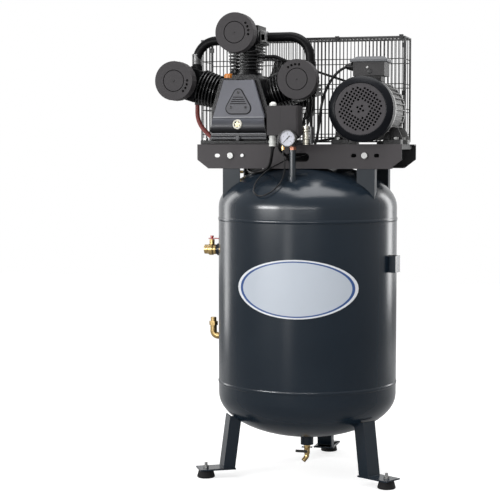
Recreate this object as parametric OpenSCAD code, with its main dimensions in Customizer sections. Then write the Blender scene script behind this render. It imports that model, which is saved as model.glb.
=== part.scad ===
// Vertical tank air compressor: a three-cylinder belt-driven pump and a foot-mounted motor
// on two channel rails, carried by an upright pressure tank on three legs.
// Millimetres. Origin on the tank's axis at floor level, +Z up, the front faces -Y.

/* [Tank] */
// Outer radius of the tank
tank_r = 300; // [290:1:310]
// Thickness of the tank's sheet
tank_wall = 4; // [3:0.5:6]
// Height of the lower weld seam above the floor
seam_low_z = 315; // [300:1:330]
// Height of the rolled shell between the two seams
shell_h = 548.5; // [500:0.5:600]
// Straight skirt of each dished head
head_skirt = 40; // [30:1:50]
// Depth of the elliptical part of each head
head_dish = 146; // [140:1:150]
// How far a weld bead stands proud
bead_h = 2; // [1:0.5:3]

/* [Legs and feet] */
// Distance from the tank's axis to the middle of each foot
foot_ring_r = 353; // [345:1:365]
// Height of each rubber foot
foot_h = 27; // [20:1:35]
// Radius of the rubber foot on the floor
foot_r = 30; // [26:1:34]
// Thickness of each leg's pad
pad_t = 5; // [4:1:8]
// Width of each pad
pad_w = 72; // [64:1:80]
// Distance from the axis to a leg's outer face at its pad
leg_ring_r = 300; // [290:1:305]
// Width of a leg's outer plate
leg_w = 60; // [50:1:64]
// Width of a leg's side plate
leg_side = 40; // [30:1:45]
// Thickness of the leg and post plates
plate_t = 5; // [4:0.5:7]
// Lean of the legs towards the tank
leg_lean = 7.5; // [5:0.5:9]

/* [Frame rails] */
// Top of the rails above the tank's upper seam
rail_rise = 248.5; // [246:0.5:260]
// Height of a rail's web
rail_h = 80; // [74:1:84]
// Half the length of a rail
rail_half = 343; // [335:1:350]
// Distance from the tank's axis to a rail's outer face
rail_y = 147.5; // [145:0.5:150]
// Width of a rail's flanges
rail_flange = 40; // [38:1:44]
// Thickness of the channel
rail_t = 4.5; // [4:0.5:6]
// Distance from the middle to the centre of a front post
post_x = 225.7; // [215:0.1:232]
// Width of the posts
post_w = 59; // [50:1:60]

/* [Pump] */
// Crank axis, left of the tank's axis
crank_x = -200; // [-205:1:-195]
// Crank axis above the rails
crank_rise = 145; // [145:1:150]
// Plane of the cylinder axes
cyl_y = -50; // [-52:1:-48]
// Lean of the outer cylinders from upright
cyl_lean = 73; // [72:0.5:74]
// Radius of the cylinder bores
bore_r = 32; // [28:1:34]
// Radius of the widest fin
fin_r = 61; // [57:1:62]
// Fins on each cylinder
fin_count = 6; // [4:1:7]
// Crank axis to the top of a cylinder
deck_r = 163; // [161:1:166]
// Crank axis to the top of a head
head_top_r = 248; // [244:1:252]
// Half the width of a head
head_half = 54; // [50:1:56]
// Radius of the intake filters
filter_r = 64.5; // [60:0.5:66]
// Depth of the intake filters
filter_t = 48; // [40:1:50]
// Crank axis to the middle of a filter
filter_ring_r = 218; // [214:1:222]
// Outer radius of the large air pipes
pipe_r = 15.5; // [13:0.5:16]
// Outer radius of the copper delivery pipe
delivery_r = 7.5; // [6:0.5:8]

/* [Drive] */
// Motor axis, right of the tank's axis
motor_x = 215; // [212:1:220]
// Motor axis above its feet
motor_rise = 112; // [110:1:116]
// Radius of the motor's body under the fins
motor_r = 94; // [90:1:98]
// Plane of the belts
belt_y = 205; // [203:1:207]
// Radius of the flywheel's rim
flywheel_r = 167; // [160:1:170]
// Radius of the motor pulley
pulley_r = 65; // [60:1:70]
// Width of flywheel and pulley
wheel_w = 44; // [42:1:46]
// Distance between the two belts
belt_pitch = 20; // [18:1:22]
// Width of a belt
belt_w = 9; // [8:0.5:10]
// Depth of a belt
belt_t = 8; // [7:0.5:9]
// Radius of the crankshaft
crank_shaft_r = 17.5; // [15:0.5:20]
// Radius of the motor shaft
motor_shaft_r = 14; // [12:0.5:16]
// Running clearance of a shaft in its bearing
run_clear = 0.05; // [0.03:0.01:0.08]

/* [Guard] */
// Left edge of the guard
guard_x0 = -423; // [-430:1:-418]
// Right edge of the guard
guard_x1 = 302; // [298:1:310]
// Top of the guard
guard_top = 1480; // [1475:1:1490]
// Front panel of the guard
guard_y0 = 152; // [151:0.5:154]
// Depth of the guard
guard_depth = 130; // [125:1:135]
// Thickness of a guard wire
wire_d = 3.0; // [3:0.2:4]
// Distance between guard wires
wire_pitch = 13; // [11:0.5:20]

/* [Controls] */
// Riser pipe, right of the tank's axis
riser_x = 3; // [0:1:6]
// Riser pipe, in front of the tank's axis
riser_y = -228; // [-231:1:-225]
// Outer radius of the riser pipe
riser_r = 10; // [8:0.5:11]
// Radius of the pressure gauge
gauge_r = 28; // [22:1:28]
// Size of the pressure switch from side to side
switch_w = 101; // [95:1:108]
// Height of the pressure switch
switch_h = 94; // [88:1:98]

/* [Valves] */
// Height of the air outlet valve
outlet_z = 753; // [740:1:765]
// Radius of the threaded hole in the outlet's mouth
outlet_r = 9.3; // [8:0.1:10]
// Length of the thread in the outlet's mouth
outlet_thread = 12; // [10:1:13]
// Height of the lower elbow's socket
elbow_z = 455; // [440:1:470]

/* [Hidden] */

$fn = 48;
eps = 1;
gap = 0.3;
tank_blue = [0.18, 0.20, 0.23];
rail_grey = [0.30, 0.30, 0.30];
cast_black = [0.10, 0.10, 0.11];
steel = [0.75, 0.76, 0.78];
alu = [0.66, 0.67, 0.68];
brass = [0.72, 0.58, 0.28];
filter_grey = [0.28, 0.27, 0.28];
rubber_black = [0.07, 0.07, 0.07];

seam_top_z = seam_low_z + shell_h;
rail_top_z = seam_top_z + rail_rise;
dome_base_z = seam_top_z + head_skirt;
dish_base_z = seam_low_z - head_skirt;
dish_steps = 16;
// Height of the dome's surface above its own base, at a distance from the axis
function dome_rise(r) = head_dish * sqrt(max(0, 1 - pow(r / tank_r, 2)));
function dome_z(r) = dome_base_z + dome_rise(r);
function dish_z(r) = dish_base_z - dome_rise(r);
drain_z = dish_z(0);

// Outline of a dished head, from its rim to the axis
function head_outline(r, dish) = concat([[r, 0], [r, head_skirt]],
    [for (i = [1 : dish_steps]) let (a = 90 * i / dish_steps)
        [i == dish_steps ? 0 : r * cos(a), head_skirt + dish * sin(a)]]);
function reverse(list) = [for (i = [len(list) - 1 : -1 : 0]) list[i]];

module head_shape(r, dish) {
    rotate_extrude($fn = 96) polygon(concat([[0, 0]], head_outline(r, dish)));
}
// The dome as it is cut out of what rests on it
module head_shape_dome() {
    translate([0, 0, -head_skirt]) head_shape(tank_r, head_dish);
}
module dished_head() {
    rotate_extrude($fn = 96)
        polygon(concat(head_outline(tank_r, head_dish),
            reverse(head_outline(tank_r - tank_wall, head_dish - tank_wall))));
}
// Everything inside the tank's outer surface, for cutting what is welded to it
module tank_solid() {
    translate([0, 0, seam_low_z]) cylinder(r = tank_r, h = shell_h, $fn = 96);
    translate([0, 0, seam_top_z]) head_shape(tank_r, head_dish);
    translate([0, 0, seam_low_z]) mirror([0, 0, 1]) head_shape(tank_r, head_dish);
}
// A cylinder along +Y between two depths
module rod_y(x, z, y0, y1, r) {
    translate([x, y0, z]) rotate([-90, 0, 0]) cylinder(r = r, h = y1 - y0);
}
// A cylinder along +X between two places
module rod_x(y, z, x0, x1, r) {
    translate([x0, y, z]) rotate([0, 90, 0]) cylinder(r = r, h = x1 - x0);
}
module rod_z(x, y, z0, z1, r) {
    translate([x, y, z0]) cylinder(r = r, h = z1 - z0);
}
module hex_z(x, y, z0, z1, flats) {
    translate([x, y, z0]) cylinder(r = flats / sqrt(3), h = z1 - z0, $fn = 6);
}

function unit(v) = v / norm(v);
// A bent round bar: straight cylinders joined by exact bends of one radius
module bent_bar(path, bend, r) {
    n = len(path);
    dirs = [for (i = [0 : n - 2]) unit(path[i + 1] - path[i])];
    turns = [for (i = [0 : n - 3]) acos(dirs[i] * dirs[i + 1])];
    bends = is_list(bend) ? bend : [for (t = turns) bend];
    cuts = concat([0], [for (i = [0 : n - 3]) bends[i] * tan(turns[i] / 2)], [0]);
    for (i = [0 : n - 2]) {
        a = path[i] + cuts[i] * dirs[i];
        len_i = norm(path[i + 1] - path[i]) - cuts[i] - cuts[i + 1];
        side = unit(cross(cross(dirs[max(i - 1, 0)], dirs[max(i, 1)]), dirs[i]));
        frame_at(a, side, cross(dirs[i], side), dirs[i]) cylinder(r = r, h = len_i);
    }
    for (i = [0 : n - 3]) {
        inward = unit(dirs[i + 1] - (dirs[i] * dirs[i + 1]) * dirs[i]);
        start = path[i + 1] - cuts[i + 1] * dirs[i];
        frame_at(start + bends[i] * inward, -inward, dirs[i], cross(-inward, dirs[i]))
            rotate_extrude(angle = turns[i]) translate([bends[i], 0]) circle(r = r);
        for (p = [[start, dirs[i]], [path[i + 1] + cuts[i + 1] * dirs[i + 1], dirs[i + 1]]])
            frame_at(p[0], cross(-inward, dirs[i]), cross(p[1], cross(-inward, dirs[i])), p[1])
                translate([0, 0, -0.6]) cylinder(r = r + 0.2, h = 1.2);
    }
}
module frame_at(p, x, y, z) {
    multmatrix([[x.x, y.x, z.x, p.x], [x.y, y.y, z.y, p.y], [x.z, y.z, z.z, p.z], [0, 0, 0, 1]])
        children();
}

// A cord swept along its points, each ring square to the way the cord runs there
module cord(points, r, sides) {
    n = len(points);
    tangents = [for (i = [0 : n - 1])
        unit(points[min(i + 1, n - 1)] - points[max(i - 1, 0)])];
    rings = [for (i = [0 : n - 1]) let (t = tangents[i],
        u = unit(cross(t, abs(t.y) > 0.9 ? [1, 0, 0] : [0, 1, 0])), v = cross(t, u))
        for (k = [0 : sides - 1]) let (a = 360 * k / sides)
            points[i] + r * cos(a) * u + r * sin(a) * v];
    walls = [for (i = [0 : n - 2]) for (k = [0 : sides - 1]) let (
        a = i * sides + k, b = i * sides + (k + 1) % sides)
        each [[a, b, b + sides], [a, b + sides, a + sides]]];
    first = [for (k = [1 : sides - 2]) [0, k + 1, k]];
    last = [for (k = [1 : sides - 2]) let (e = (n - 1) * sides) [e, e + k, e + k + 1]];
    polyhedron(points = rings, faces = [for (f = concat(walls, first, last)) reverse(f)]);
}
// ---------------------------------------------------------------- tank
module tank_shell() {
    color(tank_blue) translate([0, 0, seam_low_z]) difference() {
        cylinder(r = tank_r, h = shell_h, $fn = 96);
        translate([0, 0, -eps]) cylinder(r = tank_r - tank_wall, h = shell_h + 2 * eps, $fn = 96);
        for (z = [outlet_z, elbow_z])
            translate([0, 0, z - seam_low_z]) rotate([0, -90, 0]) cylinder(r = port_r, h = tank_r + eps);
    }
}
module tank_head_top() {
    color(tank_blue) difference() {
        translate([0, 0, seam_top_z]) dished_head();
        rod_z(riser_x, riser_y, dome_base_z, rail_top_z, port_r);
        rod_z(check_x, delivery_y, dome_base_z, rail_top_z, port_r);
    }
}
module tank_head_bottom() {
    color(tank_blue) difference() {
        translate([0, 0, seam_low_z]) mirror([0, 0, 1]) dished_head();
        rod_z(0, 0, 0, seam_low_z, port_r);
    }
}
port_r = 6;
socket_r = 21;
socket_out = 16;
small_socket_r = 15;
elbow_socket_out = 10;
drain_collar_r = 22;
drain_collar_h = 36;
collar_r = 14;
collar_top = 8;
check_x = -250;
check_r = 16;
delivery_y = -20;
bead_w = 12;
module weld_bead(z) {
    translate([0, 0, z]) rotate_extrude($fn = 96)
        polygon([[tank_r, -bead_w / 2], [tank_r + 0.6 * bead_h, -bead_w / 3], [tank_r + bead_h, 0],
            [tank_r + 0.6 * bead_h, bead_w / 3], [tank_r, bead_w / 2]]);
}
module tank_sockets() {
    color(tank_blue) {
        weld_bead(seam_low_z);
        weld_bead(seam_top_z);
        difference() {
            union() {
                rod_x(0, outlet_z, -tank_r - socket_out, -tank_r + socket_r, socket_r);
                rod_x(0, elbow_z, -tank_r - elbow_socket_out, -tank_r + socket_r, small_socket_r);
                rod_z(0, 0, drain_z - drain_collar_h, drain_z + tank_wall, drain_collar_r);
                rod_z(riser_x, riser_y, dome_z(norm([riser_x, riser_y]) + collar_r) - eps,
                    riser_foot_z, collar_r);
                rod_z(check_x, delivery_y, dome_z(norm([check_x, delivery_y]) + check_r + 2) - eps,
                    check_foot_z, check_r + 2);
            }
            tank_solid();
            rod_x(0, outlet_z, -tank_r - socket_out - eps, -tank_r + socket_r + eps, port_r);
            rod_x(0, elbow_z, -tank_r - socket_out - eps, -tank_r + socket_r + eps, port_r);
            rod_z(0, 0, 0, seam_low_z, port_r);
            rod_z(riser_x, riser_y, dome_base_z, rail_top_z, port_r);
            rod_z(check_x, delivery_y, dome_base_z, rail_top_z, port_r);
        }
    }
}
riser_foot_z = dome_z(norm([riser_x, riser_y]) - collar_r) + 1;
check_foot_z = dome_z(norm([check_x, delivery_y]) - check_r) + 3;

// ---------------------------------------------------------------- legs, feet, posts
pad_top_z = foot_h + pad_t;
pad_out = foot_ring_r + 27;
pad_in = leg_ring_r - leg_side - 2;
leg_angles = [-60, 60, 180];
stud_r = 5;
module leg(turn, hand) {
    color(tank_blue) rotate([0, 0, turn]) scale_hand(hand) difference() {
        union() {
            translate([0, -leg_ring_r, pad_top_z]) rotate([-leg_lean, 0, 0])
                translate([0, 0, -2 * leg_side]) {
                translate([-leg_w / 2, 0, 0]) cube([leg_w, plate_t, 3 * tank_r / 2]);
                translate([-leg_w / 2, 0, 0]) cube([plate_t, leg_side, 3 * tank_r / 2]);
            }
            translate([-pad_w / 2, -pad_out, foot_h]) cube([pad_w, pad_out - pad_in, pad_t]);
        }
        rotate([0, 0, -turn]) tank_solid();
        translate([-tank_r, -2 * tank_r, foot_h - 2 * tank_r]) cube([2 * tank_r, 3 * tank_r, 2 * tank_r]);
        translate([-tank_r, -leg_ring_r + 2 * leg_side, 0]) cube([2 * tank_r, tank_r, 2 * tank_r]);
        translate([-tank_r, -2 * tank_r, leg_top_z]) cube([2 * tank_r, 3 * tank_r, tank_r]);
        rod_z(0, -foot_ring_r, 0, pad_top_z + eps, stud_r + gap);
    }
}
leg_top_z = dish_z(leg_ring_r - 34);
module scale_hand(hand) {
    if (hand < 0) mirror([1, 0, 0]) children();
    else children();
}
module leg_left() { leg(leg_angles[0], -1); }
module leg_right() { leg(leg_angles[1], 1); }
module leg_rear() { leg(leg_angles[2], 1); }
module rubber_feet() {
    color(rubber_black) for (a = leg_angles) rotate([0, 0, a]) translate([0, -foot_ring_r, 0])
        difference() {
            rotate_extrude() polygon([[0, 0], [foot_r - 2, 0], [foot_r, 3], [foot_r - 1, 8],
                [foot_r - 5, foot_h - 4], [foot_r - 5, foot_h], [0, foot_h]]);
            translate([0, 0, foot_h / 2]) cylinder(r = stud_r, h = foot_h);
        }
}
post_z = rail_top_z - rail_h;
post_face = 1.5;
post_side = 38;
module post_pair(front) {
    color(tank_blue) scale_hand_y(front) for (s = [-1, 1]) difference() {
        translate([s * post_x, -rail_y + post_face, dome_base_z]) {
            translate([-post_w / 2, 0, 0]) cube([post_w, plate_t, post_z - dome_base_z]);
            translate([s > 0 ? post_w / 2 - plate_t : -post_w / 2, 0, 0])
                cube([plate_t, post_side, post_z - dome_base_z]);
        }
        tank_solid();
    }
}
module scale_hand_y(front) {
    if (front) children();
    else mirror([0, 1, 0]) children();
}
module posts_front() { post_pair(true); }
module posts_rear() { post_pair(false); }

// ---------------------------------------------------------------- bracket and bare oval plate
bracket_turn = 80;
bracket_z = 692;
bracket_h = 55;
bracket_w = 44;
bracket_out = 22;
module side_bracket() {
    color(tank_blue) rotate([0, 0, bracket_turn]) difference() {
        translate([-bracket_w / 2, -tank_r - bracket_out, bracket_z])
            cube([bracket_w, bracket_out + socket_r, bracket_h]);
        translate([-bracket_w / 2 + plate_t, -tank_r - bracket_out + plate_t, bracket_z - eps])
            cube([bracket_w - 2 * plate_t, bracket_out + socket_r, bracket_h + 2 * eps]);
        rotate([0, 0, -bracket_turn]) tank_solid();
    }
}
plate_turn = 5.5;
plate_half_w = 196;
plate_half_h = 95;
plate_mid_z = 650;
plate_thick = 0.8;
module label_plate() {
    color([0.16, 0.17, 0.19]) intersection() {
        difference() {
            cylinder(r = tank_r + plate_thick, h = 2 * plate_mid_z, $fn = 96);
            translate([0, 0, -eps]) cylinder(r = tank_r, h = 2 * plate_mid_z + 2 * eps, $fn = 96);
        }
        rotate([0, 0, plate_turn]) translate([0, 0, plate_mid_z]) rotate([90, 0, 0])
            linear_extrude(height = 2 * tank_r)
                polygon([for (i = [0 : 47]) [plate_half_w * cos(7.5 * i), plate_half_h * sin(7.5 * i)]]);
    }
}

// ---------------------------------------------------------------- rails, bearers, fasteners
chamfer_w = 38;
chamfer_h = 29;
slot_mid_z = rail_top_z - 43;
slot_half = 38.6;
slot_r = 14;
small_slot_r = 6;
small_slot_half = 3;
small_slot_x = [-274, -186, 186, 261];
rail_bolt_x = [-227.7, 222];
rail_bolt_z = rail_top_z - 37;
rail_bolt_r = 5;
base_t = 13;
base_x0 = crank_x - 134;
base_x1 = crank_x + 134;
base_notch = 52;
base_bolt_r = 5;
base_bolt_y = rail_y - rail_flange / 2;
base_bolt_x = [base_x0 + 14, base_x1 - 14];
module rail() {
    difference() {
        translate([-rail_half, -rail_y, post_z]) cube([2 * rail_half, rail_flange, rail_h]);
        translate([-rail_half - eps, -rail_y + rail_t, post_z + rail_t])
            cube([2 * rail_half + 2 * eps, rail_flange, rail_h - 2 * rail_t]);
        for (s = [-1, 1]) rotate([90, 0, 0])
            linear_extrude(height = 2 * rail_y) polygon([[s * (rail_half + eps), post_z - eps],
                [s * (rail_half - chamfer_w), post_z - eps], [s * (rail_half - chamfer_w), post_z],
                [s * rail_half, post_z + chamfer_h], [s * (rail_half + eps), post_z + chamfer_h]]);
        for (x = small_slot_x) translate([x, -rail_y - eps, rail_bolt_z]) rotate([-90, 0, 0]) {
            for (s = [-1, 1]) translate([s * small_slot_half, 0, 0])
                cylinder(r = small_slot_r, h = rail_t + 2 * eps);
            translate([-small_slot_half, -small_slot_r, 0])
                cube([2 * small_slot_half, 2 * small_slot_r, rail_t + 2 * eps]);
        }
        for (x = rail_bolt_x) rod_y(x, rail_bolt_z, -rail_y - eps, -rail_y + rail_t + eps, rail_bolt_r);
        for (x = base_bolt_x) rod_z(x, -base_bolt_y, rail_top_z - rail_t - eps, rail_top_z + eps, base_bolt_r);
        translate([0, 0, dome_base_z]) head_shape_dome();
    }
}
module rail_front() {
    color(rail_grey) difference() {
        rail();
        for (s = [-1, 1])
            rod_y(s * (slot_half - slot_r), slot_mid_z, -rail_y - eps, -rail_y + rail_t + eps, slot_r);
        translate([-slot_half + slot_r, -rail_y - eps, slot_mid_z - slot_r])
            cube([2 * (slot_half - slot_r), rail_t + 2 * eps, 2 * slot_r]);
    }
}
module rail_rear() { color(rail_grey) mirror([0, 1, 0]) rail(); }

foot_span_x = 95;
foot_span_y = 70;
bearer_w = 40;
bearer_h = 17;
motor_bolt_r = 5.8;
module motor_bearers() {
    reach = rail_y - rail_flange - gap;
    color(rail_grey) for (s = [-1, 1]) difference() {
        translate([motor_x + s * foot_span_x - bearer_w / 2, 0, rail_top_z - bearer_h]) {
            translate([0, -reach, 0]) cube([bearer_w, 2 * reach, bearer_h]);
            translate([0, -rail_y + rail_t, 0])
                cube([bearer_w, 2 * (rail_y - rail_t), bearer_h - rail_t]);
        }
        for (t = [-1, 1]) rod_z(motor_x + s * foot_span_x, t * foot_span_y,
            rail_top_z - bearer_h - eps, rail_top_z + eps, motor_bolt_r);
    }
}
bolt_flats = 17;
module bolt_z(x, y, seat, low, r) {
    hex_z(x, y, seat, seat + 8, bolt_flats);
    rod_z(x, y, low, seat, r);
}
module fasteners() {
    color(steel) {
        for (a = leg_angles) rotate([0, 0, a]) {
            rod_z(0, -foot_ring_r, foot_h / 2, pad_top_z + 18, stud_r);
            difference() {
                hex_z(0, -foot_ring_r, pad_top_z, pad_top_z + 8, bolt_flats);
                rod_z(0, -foot_ring_r, pad_top_z - eps, pad_top_z + 9, stud_r);
            }
        }
        for (seat = [-rail_y, -guard_y0]) scale_hand_y(seat == -rail_y) for (x = rail_bolt_x) {
            rod_y(x, rail_bolt_z, seat - 7, seat, 10);
            rod_y(x, rail_bolt_z, seat, -rail_y + rail_t + 8, rail_bolt_r);
        }
        for (x = base_bolt_x) for (s = [-1, 1])
            bolt_z(x, s * base_bolt_y, rail_top_z + base_t, rail_top_z - rail_t - 8, base_bolt_r);
        for (s = [-1, 1]) for (t = [-1, 1])
            bolt_z(motor_x + s * foot_span_x, t * foot_span_y, rail_top_z + motor_foot_t,
                rail_top_z - bearer_h, motor_bolt_r);
    }
}

// ---------------------------------------------------------------- pump
crank_z = rail_top_z + crank_rise;
case_y0 = -132;
case_y1 = 60;
case_half = 100;
pad_r = 85;
pad_half = 50;
bearing_y1 = 140;
bearing_r = 52;
cavity_r = 68;
cover_t = 18;
throw_r = 25;
// Places a child whose +Z runs out along a cylinder's axis
module on_cylinder(lean) {
    translate([crank_x, cyl_y, crank_z]) rotate([0, lean, 0]) children();
}
function pad_end(lean, s) = [pad_r * sin(lean) + s * pad_half * cos(lean),
    pad_r * cos(lean) - s * pad_half * sin(lean)];
module crankcase() {
    floor_z = base_t - crank_rise;
    color(cast_black) difference() {
        union() {
            translate([crank_x, case_y1, crank_z]) rotate([90, 0, 0])
                linear_extrude(height = case_y1 - case_y0) polygon([
                    [-pad_half, pad_r], [pad_half, pad_r], pad_end(cyl_lean, -1), pad_end(cyl_lean, 1),
                    [case_half, floor_z], [-case_half, floor_z], pad_end(-cyl_lean, -1), pad_end(-cyl_lean, 1)]);
            rod_y(crank_x, crank_z, case_y1, bearing_y1, bearing_r);
            translate([base_x0, -rail_y + 7.5, rail_top_z])
                cube([base_x1 - base_x0, 2 * rail_y - 15, base_t]);
        }
        rod_y(crank_x, crank_z, case_y0 - eps, case_y1 - 12, cavity_r);
        rod_y(crank_x, crank_z, case_y0, bearing_y1 + eps, crank_shaft_r + run_clear);
        for (lean = [-cyl_lean, 0, cyl_lean]) on_cylinder(lean)
            translate([0, 0, 0.7 * cavity_r]) cylinder(r = bore_r, h = pad_r);
        for (x = base_bolt_x) for (s = [-1, 1])
            rod_z(x, s * base_bolt_y, rail_top_z - eps, rail_top_z + base_t + eps, base_bolt_r);
        translate([base_x0 - eps, delivery_y - 2 * delivery_r, rail_top_z - eps])
            cube([base_notch, 4 * delivery_r, base_t + 2 * eps]);
        rod_z(oil_x, oil_y, crank_z, oil_seat_z + eps, oil_stem_r + gap);
        translate([oil_x - 2 * oil_cap_r, case_y0 - eps, oil_seat_z])
            cube([3 * oil_cap_r + 2, oil_y - case_y0 + oil_cap_r + 3, pad_r]);
    }
}
oil_x = crank_x - 45;
oil_y = case_y0 + 22;
oil_stem_r = 9;
oil_cap_r = 15;
oil_seat_z = crank_z + 74;
module oil_cap() {
    color([0.95, 0.52, 0.12]) {
        rod_z(oil_x, oil_y, oil_seat_z, oil_seat_z + 15, oil_cap_r);
        rod_z(oil_x, oil_y, oil_seat_z - 14, oil_seat_z, oil_stem_r);
    }
}
cover_y0 = case_y0 - cover_t;
cover_low = 16 - crank_rise;
cover_step = -57;
cover_top = 66;
sight_z = -80;
sight_r = 16;
module cover_outline() {
    polygon([[-97, cover_low], [97, cover_low], [88, cover_step], [50.5, cover_top],
        [-50.5, cover_top], [-88, cover_step]]);
}
// Side view of the cover: depth in front of the case against height from the crank axis
cover_side = [[0, cover_low], [cover_t + 4, cover_low], [cover_t + 4, cover_low + 8],
    [cover_t, cover_low + 11], [cover_t, cover_low + 20], [cover_t + 7, cover_low + 30],
    [cover_t + 12, cover_step - 24], [cover_t + 12, cover_step - 14], [cover_t + 8, cover_step - 6],
    [cover_t, cover_step - 3], [cover_t, cover_top], [0, cover_top]];
function arc(c, r, a0, a1, n) = [for (i = [0 : n]) let (a = a0 + (a1 - a0) * i / n)
    c + r * [cos(a), sin(a)]];
badge_arc = concat(arc([0, 26.5], 14, 155, 25, 6), arc([24, -22], 17, 25, -88, 6),
    arc([-24, -22], 17, -92, -205, 6));
module front_cover() {
    color([0.42, 0.43, 0.46]) difference() {
        union() {
            intersection() {
                translate([crank_x, case_y0, crank_z]) rotate([90, 0, 0])
                    linear_extrude(height = 2 * cover_t) cover_outline();
                translate([crank_x - case_half, case_y0, crank_z]) rotate([90, 0, 90])
                    linear_extrude(height = 2 * case_half)
                        polygon([for (p = cover_side) [-p.x, p.y]]);
            }
            translate([crank_x, cover_y0 + eps, crank_z - 5]) rotate([90, 0, 0])
                linear_extrude(height = 4) polygon(badge_arc);
            rod_y(crank_x, crank_z, case_y0, case_y0 + 20, 30);
            translate([crank_x, cover_y0, crank_z + cover_low + 4]) rotate([90, 0, 0])
                cylinder(r = 9, h = 12, $fn = 6);
        }
        for (i = [0 : 3]) translate([crank_x - 17 - 3.5 * i, cover_y0 - 4, crank_z + 8 - 7 * i])
            cube([34 + 7 * i, 3, 2.5]);
        rod_y(crank_x, crank_z, case_y0, case_y0 + 20 + eps, journal_r + run_clear);
        rod_y(crank_x, crank_z + sight_z, cover_y0 - 2 * cover_t, cover_y0, sight_r + gap);
    }
}
journal_r = 15;
module sight_glass() {
    color([0.85, 0.80, 0.62]) translate([crank_x, cover_y0, crank_z + sight_z]) rotate([90, 0, 0])
        rotate_extrude() polygon([[0, 0], [sight_r, 0], [sight_r, 15], [sight_r - 1.5, 17],
            [sight_r - 5, 17], [sight_r - 5, 13], [0, 13]]);
}
cyl_flange = 8;
barrel_r = bore_r + 9;
fin_t = 3.6;
fin_low_r = fin_r - 5;
fin_rise = (deck_r - pad_r - cyl_flange - fin_t) / fin_count;
// Profile of a finned barrel, from its foot up the outside and down the bore
function cylinder_profile() = concat([[bore_r, pad_r], [pad_half, pad_r],
    [pad_half, pad_r + cyl_flange], [barrel_r, pad_r + cyl_flange]],
    [for (i = [1 : fin_count]) let (z = pad_r + cyl_flange + i * fin_rise,
        r = fin_low_r + (fin_r - fin_low_r) * i / fin_count)
        each (i == fin_count ? [[barrel_r, z], [r, z], [r, deck_r]]
            : [[barrel_r, z], [r, z], [r, z + fin_t], [barrel_r, z + fin_t]])],
    [[bore_r, deck_r]]);
module finned_cylinder(lean) {
    color(cast_black) on_cylinder(lean) rotate_extrude() polygon(cylinder_profile());
}
breather_r = 5.5;
breather_z = crank_z + deck_r - 16;
breather_x0 = crank_x + 66;
module cylinder_left() { finned_cylinder(-cyl_lean); }
module cylinder_centre() {
    color(cast_black) difference() {
        union() {
            finned_cylinder(0);
            rod_x(cyl_y, breather_z, crank_x + bore_r + 4, breather_x0, breather_r + 3.5);
        }
        rod_z(crank_x, cyl_y, crank_z + pad_r, crank_z + deck_r, bore_r);
    }
}
module cylinder_right() { finned_cylinder(cyl_lean); }

head_depth = 104;
head_fin = 16;
neck_r = 24;
head_front = cyl_y - head_depth / 2;
boss_r = 20;
boss_h = 15;
pipe_left_x = crank_x - 176;
pipe_left_z = crank_z + 203;
pipe_right_x = crank_x + 214;
pipe_right_z = crank_z + 213;
pipe_left_y = -45;
pipe_right_y = -30;
pipe_left_end = crank_z + 120;
pipe_right_end = crank_z + 130;
pipe_bend = 70;
delivery_x = crank_x - 182;
delivery_top = crank_z - 10;
module head_block(lean) {
    on_cylinder(lean) difference() {
        translate([-head_half, -head_depth / 2, deck_r])
            cube([2 * head_half, head_depth, head_top_r - deck_r]);
        for (i = [-3 : 3]) translate([i * 14 - 3, -head_depth / 2 - eps, head_top_r - head_fin])
            cube([6, head_depth + 2 * eps, head_fin + eps]);
    }
}
module filter_neck(lean) {
    on_cylinder(lean) translate([0, 0, filter_ring_r]) rotate([90, 0, 0])
        translate([0, 0, head_depth / 2]) cylinder(r = neck_r, h = filter_back);
}
filter_back = 48;
module head_left() {
    color(alu) {
        head_block(-cyl_lean);
        filter_neck(-cyl_lean);
        rod_z(pipe_left_x, pipe_left_y, crank_z + 80, pipe_left_end, boss_r);
        rod_z(delivery_x, delivery_y, delivery_top, crank_z + 30, delivery_r + 2);
    }
}
module head_centre() {
    color(alu) {
        head_block(0);
        filter_neck(0);
        rod_x(pipe_left_y, pipe_left_z, crank_x - head_half - boss_h, crank_x, boss_r);
        rod_x(pipe_right_y, pipe_right_z, crank_x, crank_x + head_half + boss_h, boss_r);
    }
}
module head_right() {
    color(alu) {
        head_block(cyl_lean);
        filter_neck(cyl_lean);
        rod_z(pipe_right_x, pipe_right_y, crank_z + 80, pipe_right_end, boss_r);
        rod_z(breather_end_x, cyl_y, crank_z + 60, breather_end_z, breather_r + 4);
        rod_z(relief_x, under_y, under_z, under_z + 28, relief_r + 1);
        rod_z(bleed_x, under_y, under_z, under_z + 30, bleed_r + 1);
    }
}
// Two small pipes from under the right head, one to the switch and one to the manifold
relief_x = crank_x + 224;
relief_r = 5.5;
bleed_x = crank_x + 237;
bleed_r = 4.5;
under_y = cyl_y - 30;
under_z = crank_z - 7;
breather_end_x = crank_x + 156;
breather_end_z = crank_z + 108;
hole_turns = [-96, 14, 176];
module intake_filter(lean, hole_turn) {
    color(filter_grey) on_cylinder(lean) translate([0, -head_depth / 2 - filter_back, filter_ring_r])
        rotate([90, 0, 0]) rotate([0, 0, hole_turn - 23]) difference() {
            union() {
                cylinder(r = filter_r, h = filter_t);
                for (i = [0 : 23]) rotate([0, 0, 15 * i]) translate([filter_r - 3, 0, 0])
                    cylinder(r = 3.6, h = filter_t - 8);
            }
            translate([0, 0, -eps]) cylinder(r = neck_r - 3, h = 12);
            for (i = [0 : 3]) rotate([0, 0, 15.5 * i]) translate([filter_r - 17, 0, filter_t - 12])
                cylinder(r = 4, h = 12 + eps);
            translate([0, 0, filter_t - 1.5]) difference() {
                cylinder(r = 36, h = 2);
                cylinder(r = 34, h = 2);
            }
        }
}
module filter_left() { intake_filter(-cyl_lean, hole_turns[0]); }
module filter_centre() { intake_filter(0, hole_turns[1]); }
module filter_right() { intake_filter(cyl_lean, hole_turns[2]); }
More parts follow.
